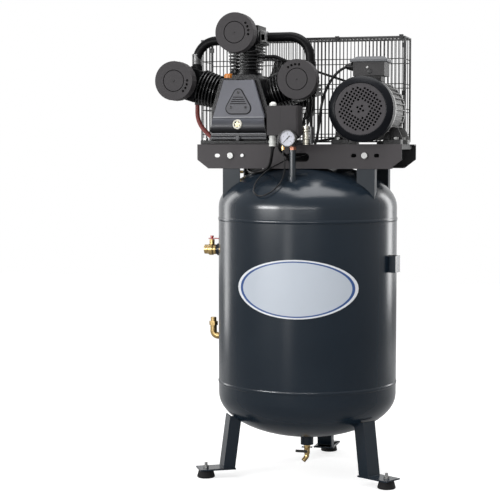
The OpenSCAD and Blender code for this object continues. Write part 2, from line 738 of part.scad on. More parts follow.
module air_pipe_left() {
    color(cast_black) bent_bar([
        [crank_x - head_half - boss_h, pipe_left_y, pipe_left_z],
        [pipe_left_x, pipe_left_y, pipe_left_z],
        [pipe_left_x, pipe_left_y, pipe_left_end]], pipe_bend, pipe_r);
}
module air_pipe_right() {
    color(cast_black) {
        bent_bar([
            [crank_x + head_half + boss_h, pipe_right_y, pipe_right_z],
            [pipe_right_x, pipe_right_y, pipe_right_z],
            [pipe_right_x, pipe_right_y, pipe_right_end]], pipe_bend, pipe_r);
        bent_bar([
            [breather_x0, cyl_y, breather_z],
            [breather_x0 + 34, cyl_y, breather_z],
            [breather_end_x, cyl_y, breather_z - 24],
            [breather_end_x, cyl_y, breather_end_z]], 14, breather_r);
        bent_bar([
            [relief_x, under_y, under_z],
            [relief_x, under_y, under_z - 42],
            [relief_x - 10, switch_y0 + switch_d + 22, switch_z0 + 30],
            [relief_x - 10, switch_y0 + switch_d, switch_z0 + 30]], 16, relief_r);
        bent_bar([
            [bleed_x, under_y, under_z],
            [bleed_x, under_y, under_z - 30],
            [stub_x, riser_y, stub_top_z + 34],
            [stub_x, riser_y, stub_top_z]], 18, bleed_r);
    }
}
delivery_low_z = check_foot_z + 60;
delivery_turn_z = delivery_top - 62;
module delivery_pipe() {
    color([0.72, 0.40, 0.36]) bent_bar([
        [delivery_x, delivery_y, delivery_top],
        [delivery_x, delivery_y, delivery_turn_z],
        [check_x, delivery_y, delivery_low_z],
        [check_x, delivery_y, check_foot_z + 42]], [85, 34], delivery_r);
}
crank_end_y = belt_y + wheel_w / 2 + 4;
module crankshaft() {
    color(steel) {
        rod_y(crank_x, crank_z, cyl_y + 20, crank_end_y, crank_shaft_r);
        rod_y(crank_x, crank_z, cyl_y + 8, cyl_y + 20, cavity_r - 12);
        rod_y(crank_x + throw_r, crank_z, cyl_y - 20, cyl_y + 8, 14);
        rod_y(crank_x, crank_z, cyl_y - 32, cyl_y - 20, cavity_r - 12);
        rod_y(crank_x, crank_z, case_y0 + 2, cyl_y - 32, journal_r);
    }
}
groove_gap = 0.3;
groove_out = 3;
groove_floor = belt_t + 0.3;
// Rim profile of a grooved wheel, from one side to the other
function rim_profile(r) = concat([[r, 0]],
    [for (s = [-1, 1]) let (m = wheel_w / 2 + s * belt_pitch / 2, g = belt_w / 2 + groove_gap)
        each [[r, m - g - groove_out], [r - groove_floor, m - g], [r - groove_floor, m + g],
            [r, m + g + groove_out]]],
    [[r, wheel_w]]);
module flywheel() {
    hub_r = 34;
    rim_in = flywheel_r - groove_floor - 9;
    color(cast_black) translate([crank_x, belt_y + wheel_w / 2, crank_z]) rotate([90, 0, 0]) {
        rotate_extrude($fn = 96) polygon(concat([[rim_in, 0]], rim_profile(flywheel_r), [[rim_in, wheel_w]]));
        difference() {
            union() {
                cylinder(r = hub_r, h = wheel_w);
                for (i = [0 : 4]) rotate([0, 0, 72 * i]) translate([hub_r - 6, -14, 14])
                    cube([rim_in - hub_r + 8, 28, 12]);
            }
            translate([0, 0, -eps]) cylinder(r = crank_shaft_r, h = wheel_w + 2 * eps);
        }
    }
}

// ---------------------------------------------------------------- motor and drive
motor_z = rail_top_z + motor_rise;
motor_foot_t = 15;
body_y0 = -120;
body_y1 = 84;
shield_t = 16;
shield_r = motor_r + 5;
cowl_r = motor_r + 12;
foot_gusset = [[60, 12], [114, 12], [114, 20], [100, 52], [80, 58], [64, 46]];
fin_out = 9;
module motor_body() {
    color(alu) difference() {
        union() {
            translate([motor_x, body_y1, motor_z]) rotate([90, 0, 0])
                linear_extrude(height = body_y1 - body_y0) {
                    circle(r = motor_r, $fn = 96);
                    for (s = [0, 180]) for (i = [-5 : 5]) rotate(s + 11 * i)
                        translate([motor_r - 4, -1.6]) square([fin_out + 4, 3.2]);
                    for (i = [-2 : 2]) rotate(90 + 13 * i) translate([motor_r - 4, -1.6]) square([fin_out, 3.2]);
                }
            rod_y(motor_x, motor_z, body_y0 - shield_t, body_y0, cowl_r - 1);
            rod_y(motor_x, motor_z, body_y1, body_y1 + shield_t, shield_r);
            for (s = [-1, 1]) for (t = [-1, 1]) translate([motor_x, t * foot_span_y, rail_top_z])
                scale_hand(s) {
                    translate([58, -22, 0]) cube([57, 44, motor_foot_t]);
                    translate([58, -6, 0]) cube([18, 12, motor_rise - 60]);
                    translate([0, 20, 0]) rotate([90, 0, 0]) linear_extrude(height = 6)
                        polygon(foot_gusset);
                }
        }
        rod_y(motor_x, motor_z, body_y0, body_y1, motor_r - 10);
        rod_y(motor_x, motor_z, body_y0 - shield_t - eps, body_y1 + shield_t + eps,
            motor_shaft_r + run_clear);
        for (s = [-1, 1]) for (t = [-1, 1]) rod_z(motor_x + s * foot_span_x, t * foot_span_y,
            rail_top_z - eps, rail_top_z + motor_foot_t + eps, motor_bolt_r);
    }
}
fan_y0 = -190;
cowl_t = 2.5;
module fan_cover() {
    front = body_y0 - shield_t - fan_y0;
    color([0.17, 0.18, 0.21]) translate([motor_x, fan_y0 + front, motor_z]) rotate([90, 0, 0]) difference() {
        rotate_extrude($fn = 96) polygon([[cowl_r - cowl_t, 0], [cowl_r, 0], [cowl_r, front - 14],
            [cowl_r - 18, front - 2], [85, front], [0, front], [0, front - cowl_t],
            [84, front - cowl_t], [cowl_r - 20, front - cowl_t - 2], [cowl_r - cowl_t, front - 16]]);
        for (ring = [[76, 30], [67, 26], [58, 22]]) for (i = [0 : ring[1] - 1])
            rotate([0, 0, 360 * i / ring[1]]) translate([ring[0], 0, front - 2 * cowl_t])
                cylinder(r = 2.7, h = 3 * cowl_t, $fn = 16);
        for (i = [0 : 5]) rotate([0, 0, 60 * i]) translate([10, 0, front - 2 * cowl_t])
            cylinder(r = 2.7, h = 3 * cowl_t, $fn = 16);
    }
}
shaft_end = belt_y + wheel_w / 2;
module motor_rotor() {
    color(steel) {
        rod_y(motor_x, motor_z, fan_y0 + 12, shaft_end, motor_shaft_r);
        difference() {
            rod_y(motor_x, motor_z, body_y0 + 28, body_y1 - 28, motor_r - 26);
            rod_y(motor_x, motor_z, body_y0, body_y1, motor_shaft_r);
        }
    }
    color(rubber_black) translate([motor_x, fan_y0 + 44, motor_z]) rotate([90, 0, 0]) difference() {
        union() {
            cylinder(r = 26, h = 30);
            cylinder(r = 84, h = 4);
            for (i = [0 : 6]) rotate([0, 0, 360 * i / 7]) translate([20, -1.5, 0]) cube([62, 3, 26]);
        }
        translate([0, 0, -eps]) cylinder(r = motor_shaft_r, h = 40);
    }
}
module motor_pulley() {
    color(cast_black) translate([motor_x, belt_y + wheel_w / 2, motor_z]) rotate([90, 0, 0])
        rotate_extrude($fn = 64) polygon(concat([[motor_shaft_r, 0]], rim_profile(pulley_r),
            [[motor_shaft_r, wheel_w]]));
}
drive_d = norm([motor_x - crank_x, motor_z - crank_z]);
drive_tilt = atan2(motor_z - crank_z, motor_x - crank_x);
// The belt's outline round both wheels, at a depth under their rims
module belt_outline(depth) {
    big = flywheel_r - depth;
    small = pulley_r - depth;
    a = acos((big - small) / drive_d);
    circle(r = big, $fn = 96);
    translate([drive_d, 0]) circle(r = small, $fn = 96);
    polygon([[big * cos(a), big * sin(a)], [drive_d + small * cos(a), small * sin(a)],
        [drive_d + small * cos(a), -small * sin(a)], [big * cos(a), -big * sin(a)]]);
}
module drive_belts() {
    color(rubber_black) for (s = [-1, 1])
        translate([crank_x, belt_y + s * belt_pitch / 2 + belt_w / 2, crank_z])
            rotate([90, 0, 0]) rotate([0, 0, drive_tilt]) difference() {
                linear_extrude(height = belt_w) belt_outline(0.5);
                translate([0, 0, -eps]) linear_extrude(height = belt_w + 2 * eps) belt_outline(belt_t);
            }
}
box_x0 = motor_x - 45;
box_w = 104;
box_z0 = motor_z + cowl_r + 4;
box_h = 46;
box_y0 = -86;
box_d = 96;
lid_over = 10;
lid_slope = 20;
function lid_bevel(half) = [[-half, 0], [half, 0], [half, 1], [half - lid_slope, 12],
    [lid_slope - half, 12], [-half, 1]];
gland_z = box_z0 + 32;
gland_r = 12;
gland_len = 18;
cable_r = 4.5;
supply_r = 5;
tube_r = 2.25;
module terminal_box() {
    color(cast_black) difference() {
        union() {
            translate([box_x0 + 12, box_y0 + 12, motor_z + motor_r - 1])
                cube([box_w - 24, box_d - 24, box_z0 - motor_z - motor_r + 2]);
            translate([box_x0, box_y0, box_z0]) cube([box_w, box_d, box_h]);
            translate([box_x0 - lid_over, box_y0 - lid_over / 2, box_z0 + box_h])
                cube([box_w + 2 * lid_over, box_d + lid_over, 8]);
            translate([box_x0 + box_w / 2, box_y0 + box_d / 2, box_z0 + box_h + 6]) intersection() {
                rotate([90, 0, 0]) translate([0, 0, -box_d / 2]) linear_extrude(height = box_d)
                    polygon(lid_bevel(box_w / 2 + lid_over));
                rotate([90, 0, 90]) translate([0, 0, -box_w]) linear_extrude(height = 2 * box_w)
                    polygon(lid_bevel(box_d / 2));
            }
            rod_x(box_y0 + 26, gland_z, box_x0 - gland_len, box_x0, gland_r);
        }
        rod_y(motor_x, motor_z, box_y0 - eps, box_y0 + box_d + eps, motor_r);
        for (i = [-2 : 2]) translate([motor_x, 0, motor_z]) rotate([0, -13 * i, 0])
            translate([-1.6 - gap, box_y0, motor_r - 5]) cube([3.2 + 2 * gap, box_d, fin_out + 2]);
        rod_x(box_y0 + 26, gland_z, box_x0 - gland_len - eps, box_x0 - gland_len + 10, cable_r + gap);
    }
}

// ---------------------------------------------------------------- belt guard
wire_r = wire_d / 2;
bar_w = 4.5;
touch = 0.05;
guard_z0 = rail_top_z + 8;
guard_y1 = guard_y0 + guard_depth;
guard_h = guard_top - guard_z0;
guard_w = guard_x1 - guard_x0;
row_low = 28;
row_step = 85.3;
// A flat panel of upright wires, cross wires and an edge bar, in the XZ plane at y = 0.
// Each hole is [x, z, r]; wires stop at its ring.
module wire_panel(w, h, rows, holes, pitch = wire_pitch) {
    n = floor((w - 2 * bar_w) / pitch);
    first = (w - n * pitch) / 2;
    difference() {
        translate([0, -wire_r, 0]) cube([w, wire_d, h]);
        translate([bar_w, -wire_d, bar_w]) cube([w - 2 * bar_w, 2 * wire_d, h - 2 * bar_w]);
    }
    for (i = [0 : n]) {
        x = first + i * pitch;
        hits = [for (c = holes) if (abs(x - c.x) < c[2]) c];
        if (len(hits) == 0) rod_z(x, 0, bar_w, h - bar_w, wire_r);
        else {
            c = hits[0];
            half = sqrt(c[2] * c[2] - pow(x - c.x, 2));
            if (c.y - half > bar_w) rod_z(x, 0, bar_w, c.y - half, wire_r);
            if (c.y + half < h - bar_w) rod_z(x, 0, c.y + half, h - bar_w, wire_r);
        }
    }
    for (z = rows) {
        cut = [for (c = holes) if (abs(z - c.y) < c[2] + wire_d + touch)
            let (half = sqrt(pow(c[2] + wire_d + touch, 2) - pow(z - c.y, 2))) [c.x - half, c.x + half]];
        ends = concat([0], [for (c = cut) each c], [w]);
        for (i = [0 : 2 : len(ends) - 1]) rod_x(wire_d + touch, z, ends[i], ends[i + 1], wire_r);
    }
    for (c = holes) translate([c.x, wire_d + touch, c.y]) rotate([90, 0, 0])
        rotate_extrude() translate([c[2] + wire_r, 0]) circle(r = wire_r, $fn = 16);
}
rows_full = [for (i = [0 : 3]) row_low + i * row_step];
shaft_hole = 24;
shaft_hole_motor = 78;
tab_w = 30;
module guard_front() {
    color(rubber_black) {
        translate([guard_x0, guard_y0 + wire_r, guard_z0])
            wire_panel(guard_w, guard_h, rows_full,
                [[crank_x - guard_x0, crank_z - guard_z0, shaft_hole],
                 [motor_x - guard_x0, motor_z - guard_z0, shaft_hole_motor]]);
        difference() {
            for (x = rail_bolt_x) translate([x - tab_w / 2, rail_y, rail_bolt_z - tab_w / 2])
                cube([tab_w, guard_y0 - rail_y, guard_z0 + bar_w - rail_bolt_z + tab_w / 2]);
            for (x = rail_bolt_x) rod_y(x, rail_bolt_z, rail_y - eps, guard_y0 + eps, rail_bolt_r);
        }
    }
}

module guard_rear() {
    color(rubber_black) translate([guard_x0, guard_y1, guard_z0])
        mirror([0, 1, 0]) wire_panel(guard_w, guard_h, [for (z = rows_full) z - 10], []);
}
side_y = guard_y0 + 2 * (wire_d + touch);
side_w = guard_y1 - 1.5 * wire_d - 2 * touch - side_y;
lid_y = guard_y0 + wire_d + touch;
lid_d = guard_y1 - wire_r - touch - lid_y;
module guard_side(x, hand) {
    color(rubber_black) translate([x, side_y, guard_z0]) rotate([0, 0, 90]) scale_hand_y(hand)
        wire_panel(side_w, guard_h, rows_full, [], 3 * wire_pitch);
}
module guard_left() { guard_side(guard_x0 + wire_r, false); }
module guard_right() { guard_side(guard_x1 - wire_r, true); }
module guard_top() {
    color(rubber_black) translate([guard_x0 + wire_d + touch, lid_y + lid_d, guard_top - wire_r - 4])
        rotate([90, 0, 0]) wire_panel(guard_w - 2 * (wire_d + touch), lid_d, [lid_d / 2], []);
}

// ---------------------------------------------------------------- pressure switch and manifold
manifold_z0 = rail_top_z - 8;
manifold_z1 = rail_top_z + 28;
switch_x0 = riser_x - 77;
switch_z0 = manifold_z1;
switch_y0 = riser_y - 34;
switch_d = 68;
knob_x = switch_x0 + 12;
knob_y = riser_y;
knob_r = 11.5;
knob_stem_r = 6;
white_x = switch_x0 + 11;
white_r = 12;
white_h = 35;
module switch_body() {
    color([0.26, 0.25, 0.27]) difference() {
        union() {
            translate([switch_x0, switch_y0, switch_z0]) cube([switch_w, switch_d, switch_h]);
            translate([switch_x0 + 47, switch_y0 - 3, switch_z0 + 8]) cube([switch_w - 51, 3, switch_h - 12]);
        }
        rod_z(knob_x, knob_y, switch_z0 + switch_h - 20, switch_z0 + switch_h + eps, knob_stem_r + gap);
        rod_z(white_x, riser_y, switch_z0 - eps, switch_z0 + 8, supply_r + gap);
    }
    color([0.88, 0.88, 0.85]) difference() {
        union() {
            rod_z(white_x, riser_y, switch_z0 - white_h + 14, switch_z0, white_r - 1);
            rod_z(white_x, riser_y, switch_z0 - white_h, switch_z0 - white_h + 14, white_r);
        }
        rod_z(white_x, riser_y, switch_z0 - white_h - eps, switch_z0 + eps, supply_r + gap);
    }
    color(cast_black) difference() {
        rod_z(black_x, riser_y, switch_z0 - black_h, switch_z0, 7.5);
        rod_z(black_x, riser_y, switch_z0 - black_h - eps, switch_z0 - 4, cable_r + gap);
    }
    color(cast_black) rod_z(unloader_x, riser_y, switch_z0 - unloader_drop + 14, switch_z0, 5);
    color(brass) rod_z(unloader_x, riser_y, switch_z0 - unloader_drop, switch_z0 - unloader_drop + 14, 6.5);
}
black_x = switch_x0 + 31;
black_h = 28;
unloader_x = switch_x0 + 46;
unloader_drop = 47;
knob_travel = 6;
module switch_knob() {
    color([0.90, 0.90, 0.88]) {
        translate([knob_x, knob_y, switch_z0 + switch_h + gap]) rotate_extrude()
            polygon([[0, 0], [knob_r, 0], [knob_r, 6], [knob_r - 2, 10], [knob_r - 6, 12.5], [0, 13]]);
        rod_z(knob_x, knob_y, switch_z0 + switch_h - 16, switch_z0 + switch_h + gap, knob_stem_r);
    }
}
nut_h = 11;
arm_z = rail_top_z + 6;
arm_r = 7.5;
valve_x = riser_x + 44;
valve_z = arm_z + arm_r + 0.5;
stub_x = valve_x + 17.5;
stub_top_z = arm_z + 49;
module manifold() {
    color(tank_blue) difference() {
        rod_z(riser_x, riser_y, riser_foot_z, manifold_z0 - nut_h, riser_r);
        rod_z(riser_x, riser_y, riser_foot_z - eps, manifold_z0 - nut_h + eps, port_r);
    }
    color([0.72, 0.45, 0.32]) difference() {
        hex_z(riser_x, riser_y, manifold_z0 - nut_h, manifold_z0, 20);
        rod_z(riser_x, riser_y, manifold_z0 - nut_h - eps, manifold_z0 + eps, port_r);
    }
    color(cast_black) {
        rod_z(riser_x, riser_y, manifold_z0, manifold_z1, 13);
        difference() {
            union() {
                rod_x(riser_y, arm_z, riser_x, valve_x, arm_r);
                rod_z(valve_x, riser_y, arm_z - arm_r - 0.5, valve_z, valve_r);
            }
            rod_z(riser_x, riser_y, manifold_z0, manifold_z1, 13);
        }
        rod_x(riser_y, arm_z, valve_x + valve_r - 1, stub_x, 6);
        rod_z(stub_x, riser_y, arm_z - 6, stub_top_z, 6.5);
    }
    color(brass) {
        rod_z(check_x, delivery_y, check_foot_z, check_foot_z + 30, check_r - 3);
        difference() {
            hex_z(check_x, delivery_y, check_foot_z + 12, check_foot_z + 42, 28);
            rod_z(check_x, delivery_y, check_foot_z, check_foot_z + 30, check_r - 3);
        }
        difference() {
            rod_x(delivery_y, check_foot_z + 22, check_x, check_x + 30, 5);
            hex_z(check_x, delivery_y, check_foot_z + 12, check_foot_z + 42, 28);
        }
    }
}
gauge_z = rail_top_z + 18;
gauge_x = riser_x - 4;
gauge_y0 = riser_y - 60;
gauge_t = 22;
dial_y = gauge_y0 + 7;
module gauge_body() {
    color(cast_black) difference() {
        union() {
            rod_y(gauge_x, gauge_z, gauge_y0, gauge_y0 + gauge_t, gauge_r);
            rod_y(riser_x, gauge_z - 14, gauge_y0 + gauge_t, riser_y - 13, 7);
        }
        rod_y(gauge_x, gauge_z, gauge_y0 - eps, dial_y, gauge_r - 3);
        rod_y(gauge_x, gauge_z, dial_y - eps, dial_y + 4, 2 + run_clear);
    }
}
needle_len = 21;
needle_tail = 11;
module gauge_needle() {
    color(rubber_black) {
        rod_y(gauge_x, gauge_z, dial_y - 3, dial_y + 3.5, 2);
        translate([gauge_x, dial_y - 1, gauge_z]) rotate([90, 0, 0]) rotate([0, 0, 225])
            linear_extrude(height = 1.2) polygon([[0, 0.9], [needle_len, 0.3], [needle_len, -0.3],
                [0, -0.9], [-needle_tail + 6, -0.9], [-needle_tail + 5, -1.8], [-needle_tail, -1.8],
                [-needle_tail, 1.8], [-needle_tail + 5, 1.8], [-needle_tail + 6, 0.9]]);
    }
}
valve_r = 10.5;
valve_top = valve_z + 44;
ring_stem_r = 3;
module safety_valve() {
    color([0.78, 0.74, 0.64]) difference() {
        translate([valve_x, riser_y, valve_z]) rotate_extrude() polygon([[0, 0], [valve_r, 0],
            [valve_r, 3], [valve_r - 1.5, 4], [valve_r - 1.5, 24], [valve_r, 25], [valve_r, 30],
            [valve_r - 2, 31], [valve_r - 2, 34], [valve_r, 35], [valve_r, 44], [0, 44]]);
        rod_z(valve_x, riser_y, valve_top - 14, valve_top + eps, ring_stem_r + run_clear);
    }
}
module safety_ring() {
    color(steel) {
        rod_z(valve_x, riser_y, valve_top - 12, valve_top + 6, ring_stem_r);
        translate([valve_x, riser_y, valve_top + 6 + 7]) rotate([90, 0, 90])
            rotate_extrude() translate([6.6, 0]) circle(r = 1.1, $fn = 16);
    }
}

// ---------------------------------------------------------------- tank valves
outlet_x0 = -tank_r - socket_out;
outlet_len = 46;
ball_x = outlet_x0 - 21;
ball_r = 12;
stem_r = 4.5;
stem_top = outlet_z + 42;
lever_len = 42;
lever_t = 3;
module outlet_valve() {
    color(brass) difference() {
        union() {
            translate([outlet_x0, 0, outlet_z]) rotate([0, -90, 0]) rotate_extrude()
                polygon([[0, 0], [14, 0], [17, 5], [17, 14], [20, 17], [20, 29], [17, 32], [16, 34],
                    [16, outlet_len], [0, outlet_len]]);
            rod_z(ball_x, 0, outlet_z, outlet_z + 34, 9);
        }
        translate([ball_x, 0, outlet_z]) sphere(r = ball_r + gap);
        rod_x(0, outlet_z, outlet_x0 - outlet_len - eps, outlet_x0 - outlet_len + outlet_thread, outlet_r);
        rod_x(0, outlet_z, outlet_x0 - outlet_len, outlet_x0 + eps, port_r + 1);
        rod_z(ball_x, 0, outlet_z, outlet_z + 35, stem_r + run_clear);
    }
}
module outlet_lever() {
    color([0.70, 0.12, 0.10]) {
        difference() {
            union() {
                translate([ball_x, 0, outlet_z]) sphere(r = ball_r);
                rod_z(ball_x, 0, outlet_z, stem_top, stem_r);
            }
            rod_x(0, outlet_z, ball_x - 2 * ball_r, ball_x + 2 * ball_r, port_r + 1);
        }
        difference() {
            translate([ball_x - 10, -9, stem_top - 6]) cube([lever_len, 18, lever_t]);
            rod_z(ball_x, 0, outlet_z, stem_top + eps, stem_r);
        }
        hex_z(ball_x, 0, stem_top, stem_top + 5, 11);
    }
}
drain_top = drain_z - drain_collar_h;
drain_ball_z = drain_top - 20;
drain_ball_r = 7;
drain_stem_r = 3;
drain_lever_len = 40;
drain_lever_y = -drain_collar_r - 5;
drain_bend_z = drain_top - 32;
drain_aim = [-0.55, -0.45, -0.7];
module drain_valve() {
    color(brass) difference() {
        union() {
            hex_z(0, 0, drain_top - 10, drain_top, 20);
            rod_z(0, 0, drain_bend_z, drain_top - 10, 10);
            rod_y(0, drain_ball_z, drain_lever_y + 5, 0, 6);
            bent_bar([[0, 0, drain_bend_z], [0, 0, drain_bend_z - 10],
                [0, 0, drain_bend_z - 10] + 20 * unit(drain_aim)], 14, 8);
        }
        translate([0, 0, drain_ball_z]) sphere(r = drain_ball_r + gap);
        rod_z(0, 0, drain_bend_z, drain_top + eps, 4);
        rod_y(0, drain_ball_z, drain_lever_y, 0, drain_stem_r + run_clear);
    }
}
module drain_lever() {
    color(rubber_black) {
        difference() {
            union() {
                translate([0, 0, drain_ball_z]) sphere(r = drain_ball_r);
                rod_y(0, drain_ball_z, drain_lever_y, 0, drain_stem_r);
            }
            rod_x(0, drain_ball_z, -10, 10, 4);
        }
        translate([6 - drain_lever_len, drain_lever_y, drain_ball_z - 4.5]) cube([drain_lever_len, 3, 9]);
    }
}
elbow_x0 = -tank_r - elbow_socket_out;
elbow_out = 22;
module elbow_fitting() {
    color(brass) {
        bent_bar([[elbow_x0, 0, elbow_z], [elbow_x0 - elbow_out, 0, elbow_z],
            [elbow_x0 - elbow_out, 0, elbow_z + 36]], 16, 11.5);
        hex_z(elbow_x0 - elbow_out, 0, elbow_z + 36, elbow_z + 50, 27);
        rod_z(elbow_x0 - elbow_out, 0, elbow_z + 50, elbow_z + 64, 10);
    }
}

// ---------------------------------------------------------------- cables and tube
// Hand-chosen points. The motor's cable drops behind the front rail and comes out through
// its oval slot; the supply cable leaves under the rail and lies in its channel.
motor_cable_route = [[box_x0 - 8, box_y0 + 26, gland_z], [box_x0 - 20, box_y0 + 26, gland_z],
    [136, -60, 1362], [115, -61, 1348], [93, -63, 1322], [77, -66, 1292], [67, -70, 1260],
    [61, -75, 1225], [58, -80, 1190], [54, -84, 1155], [48, -88, 1122], [38, -96, 1094],
    [22, -112, 1076], [5, -130, 1069], [-10, -146, 1067], [-24, -168, 1071], [-35, -194, 1082],
    [black_x, riser_y - 2, 1106], [black_x, riser_y, 1116], [black_x, riser_y, switch_z0 - 4]];
unloader_route = [[unloader_x, riser_y, switch_z0 - unloader_drop], [-28, -229, 1080],
    [-24, -231, 1060], [-21, -238, 1030], [-26, -254, 998], [-44, -278, 968], [-66, -287, 953],
    [-92, -284, 947], [-112, -273, 955], [-118, -257, 972], [-111, -238, 996], [-93, -214, 1020],
    [-76, -192, 1036], [-54, -172, 1050], [-36, -158, 1061], [-27, -146, 1067], [-32, -128, 1066],
    [-60, -104, 1060], [-110, -78, 1048], [-160, -52, 1034], [-198, -28, 1024],
    [check_x + 30, delivery_y, check_foot_z + 22]];
supply_route = [[white_x, riser_y, switch_z0 + 8], [white_x, riser_y, switch_z0 - white_h],
    [-66, -223, 1086], [-73, -207, 1066], [-83, -184, 1049], [-93, -168, 1037], [-106, -157, 1029],
    [-122, -150, 1024], [-140, -141, 1021], [-158, -124, 1019], [-174, -104, 1022],
    [-186, -94, 1036], [-198, -102, 1048], [-212, -117, 1046], [-232, -126, 1042], [-250, -128, 1041]];
module motor_cable() { color(rubber_black) cord(motor_cable_route, cable_r, 8); }
module unloader_tube() { color(rubber_black) cord(unloader_route, tube_r, 8); }
module supply_cable() { color(rubber_black) cord(supply_route, supply_r, 8); }

tank_shell();
tank_head_top();
tank_head_bottom();
tank_sockets();
leg_left();
leg_right();
leg_rear();
rubber_feet();
posts_front();
posts_rear();
side_bracket();
label_plate();
rail_front();
rail_rear();
motor_bearers();
fasteners();
crankcase();
front_cover();
sight_glass();
oil_cap();
cylinder_left();
cylinder_centre();
cylinder_right();
head_left();
head_centre();
head_right();
filter_left();
filter_centre();
filter_right();
air_pipe_left();
air_pipe_right();
delivery_pipe();
crankshaft();
flywheel();
motor_body();
fan_cover();
motor_rotor();
motor_pulley();
terminal_box();
drive_belts();
guard_front();
guard_rear();
guard_left();
guard_right();
guard_top();
switch_body();
switch_knob();
manifold();
gauge_body();
gauge_needle();
safety_valve();
safety_ring();
outlet_valve();
outlet_lever();
drain_valve();
drain_lever();
elbow_fitting();
motor_cable();
unloader_tube();
supply_cable();
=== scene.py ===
"""Visual model of a vertical tank air compressor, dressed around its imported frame."""

import logging
import math
from collections.abc import Callable, Iterable, Sequence
from dataclasses import dataclass
from enum import Enum

import bmesh
import bpy
from mathutils import Matrix, Vector


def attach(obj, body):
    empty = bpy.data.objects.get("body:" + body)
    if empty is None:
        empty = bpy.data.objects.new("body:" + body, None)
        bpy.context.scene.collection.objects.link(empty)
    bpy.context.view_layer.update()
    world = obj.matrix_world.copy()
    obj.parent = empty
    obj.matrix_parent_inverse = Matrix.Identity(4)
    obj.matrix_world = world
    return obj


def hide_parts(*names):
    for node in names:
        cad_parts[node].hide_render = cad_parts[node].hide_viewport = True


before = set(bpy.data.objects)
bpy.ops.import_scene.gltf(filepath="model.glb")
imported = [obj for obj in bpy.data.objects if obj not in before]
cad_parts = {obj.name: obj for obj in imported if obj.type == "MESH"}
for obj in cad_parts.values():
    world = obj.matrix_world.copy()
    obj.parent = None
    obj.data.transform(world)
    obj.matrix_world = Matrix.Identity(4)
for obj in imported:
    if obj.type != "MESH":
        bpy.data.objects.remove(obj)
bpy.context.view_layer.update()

LOG = logging.getLogger("compressor")
ROOT = "compressor_frame"
MM = 0.001
COPY_WELD = 0.00001
SPIN_WELD = 0.000005
FLAT_ANGLE = 0.4
CRISP_ANGLE = 32.0
Point = tuple[float, float, float]
Color = tuple[float, float, float]
Piece = bpy.types.Object
FRONT: Point = (0, -1, 0)
UP: Point = (0, 0, 1)
CRANK: Point = (-200.0, -50.0, 1257.0)
CYLINDERS: tuple[tuple[str, float], ...] = (("left", -73.0), ("centre", 0.0), ("right", 73.0))


# ---------------------------------------------------------------- bench tools
def clear_bench() -> None:
    """Leave edit mode and deselect everything."""
    if bpy.context.object and bpy.context.object.mode != "OBJECT":
        bpy.ops.object.mode_set(mode="OBJECT")
    bpy.ops.object.select_all(action="DESELECT")


def hold(*pieces: Piece) -> Piece:
    """Select just these pieces and make the first one active.

    Args:
        pieces: The pieces to select.

    Returns:
        The active piece.
    """
    clear_bench()
    for piece in pieces:
        piece.select_set(True)
    bpy.context.view_layer.objects.active = pieces[0]
    return pieces[0]


def modify(piece: Piece, kind: str, **settings: object) -> Piece:
    """Put a modifier on a piece and apply it.

    Args:
        piece: The piece to change.
        kind: Blender's name for the modifier.
        settings: The modifier's own properties.

    Returns:
        The same piece.
    """
    hold(piece)
    modifier = piece.modifiers.new(kind, kind)
    for key, value in settings.items():
        setattr(modifier, key, value)
    bpy.ops.object.modifier_apply(modifier=modifier.name)
    return piece


def join(name: str, pieces: Sequence[Piece]) -> Piece:
    """Join pieces into one.

    Args:
        name: Name of the joined piece.
        pieces: The pieces, which the first one takes in.

    Returns:
        The joined piece.
    """
    hold(*pieces)
    if len(pieces) > 1:
        bpy.ops.object.join()
    pieces[0].name = pieces[0].data.name = name
    return pieces[0]


def soften(piece: Piece, width: float = 0.0, angle: float = CRISP_ANGLE) -> Piece:
    """Round a piece's sharp edges and shade it by angle.

    Args:
        piece: The piece to round.
        width: Width of the rounding in millimetres, or 0 for none.
        angle: Edges sharper than this many degrees stay crisp.

    Returns:
        The same piece.
    """
    if width:
        modify(piece, "BEVEL", width=width * MM, segments=2, limit_method="ANGLE",
               angle_limit=math.radians(angle), use_clamp_overlap=False)
    hold(piece)
    bpy.ops.object.shade_smooth_by_angle(angle=math.radians(angle))
    modify(piece, "WEIGHTED_NORMAL", keep_sharp=True)
    return piece


def copy_of(name: str, *nodes: str) -> Piece:
    """Copy CAD nodes into one merged mesh with clean faces.

    Args:
        name: Name of the new piece.
        nodes: The CAD nodes to copy.

    Returns:
        The new piece, at the origin as the nodes are.
    """
    parts = []
    for node in nodes:
        part = bpy.data.objects.new(name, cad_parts[node].data.copy())
        part.data.materials.clear()
        bpy.context.scene.collection.objects.link(part)
        parts.append(part)
    piece = join(name, parts)
    bpy.ops.object.mode_set(mode="EDIT")
    bpy.ops.mesh.select_all(action="SELECT")
    bpy.ops.mesh.remove_doubles(threshold=COPY_WELD)
    bpy.ops.mesh.dissolve_limited(angle_limit=math.radians(FLAT_ANGLE))
    bpy.ops.object.mode_set(mode="OBJECT")
    if piece.data.has_custom_normals:
        bpy.ops.mesh.customdata_custom_splitnormals_clear()
    return piece


def trace(name: str, points: Iterable[Sequence[float]]) -> Piece:
    """Draw an open line of vertices by extruding from one point.

    Args:
        name: Name of the new piece.
        points: The line's points in millimetres.

    Returns:
        The line, in edit mode with its last vertex selected.
    """
    clear_bench()
    route = [Vector(point) * MM for point in points]
    bpy.ops.mesh.primitive_plane_add(size=0.001, location=route[0])
    piece = bpy.context.object
    piece.name = piece.data.name = name
    bpy.ops.object.transform_apply(location=True, rotation=True, scale=True)
    bpy.ops.object.mode_set(mode="EDIT")
    bpy.ops.mesh.select_mode(type="VERT")
    bpy.ops.mesh.select_all(action="SELECT")
    bpy.ops.mesh.merge(type="CENTER")
    for start, end in zip(route, route[1:]):
        bpy.ops.mesh.extrude_region_move(
            TRANSFORM_OT_translate={"value": end - start, "orient_type": "GLOBAL"})
    return piece


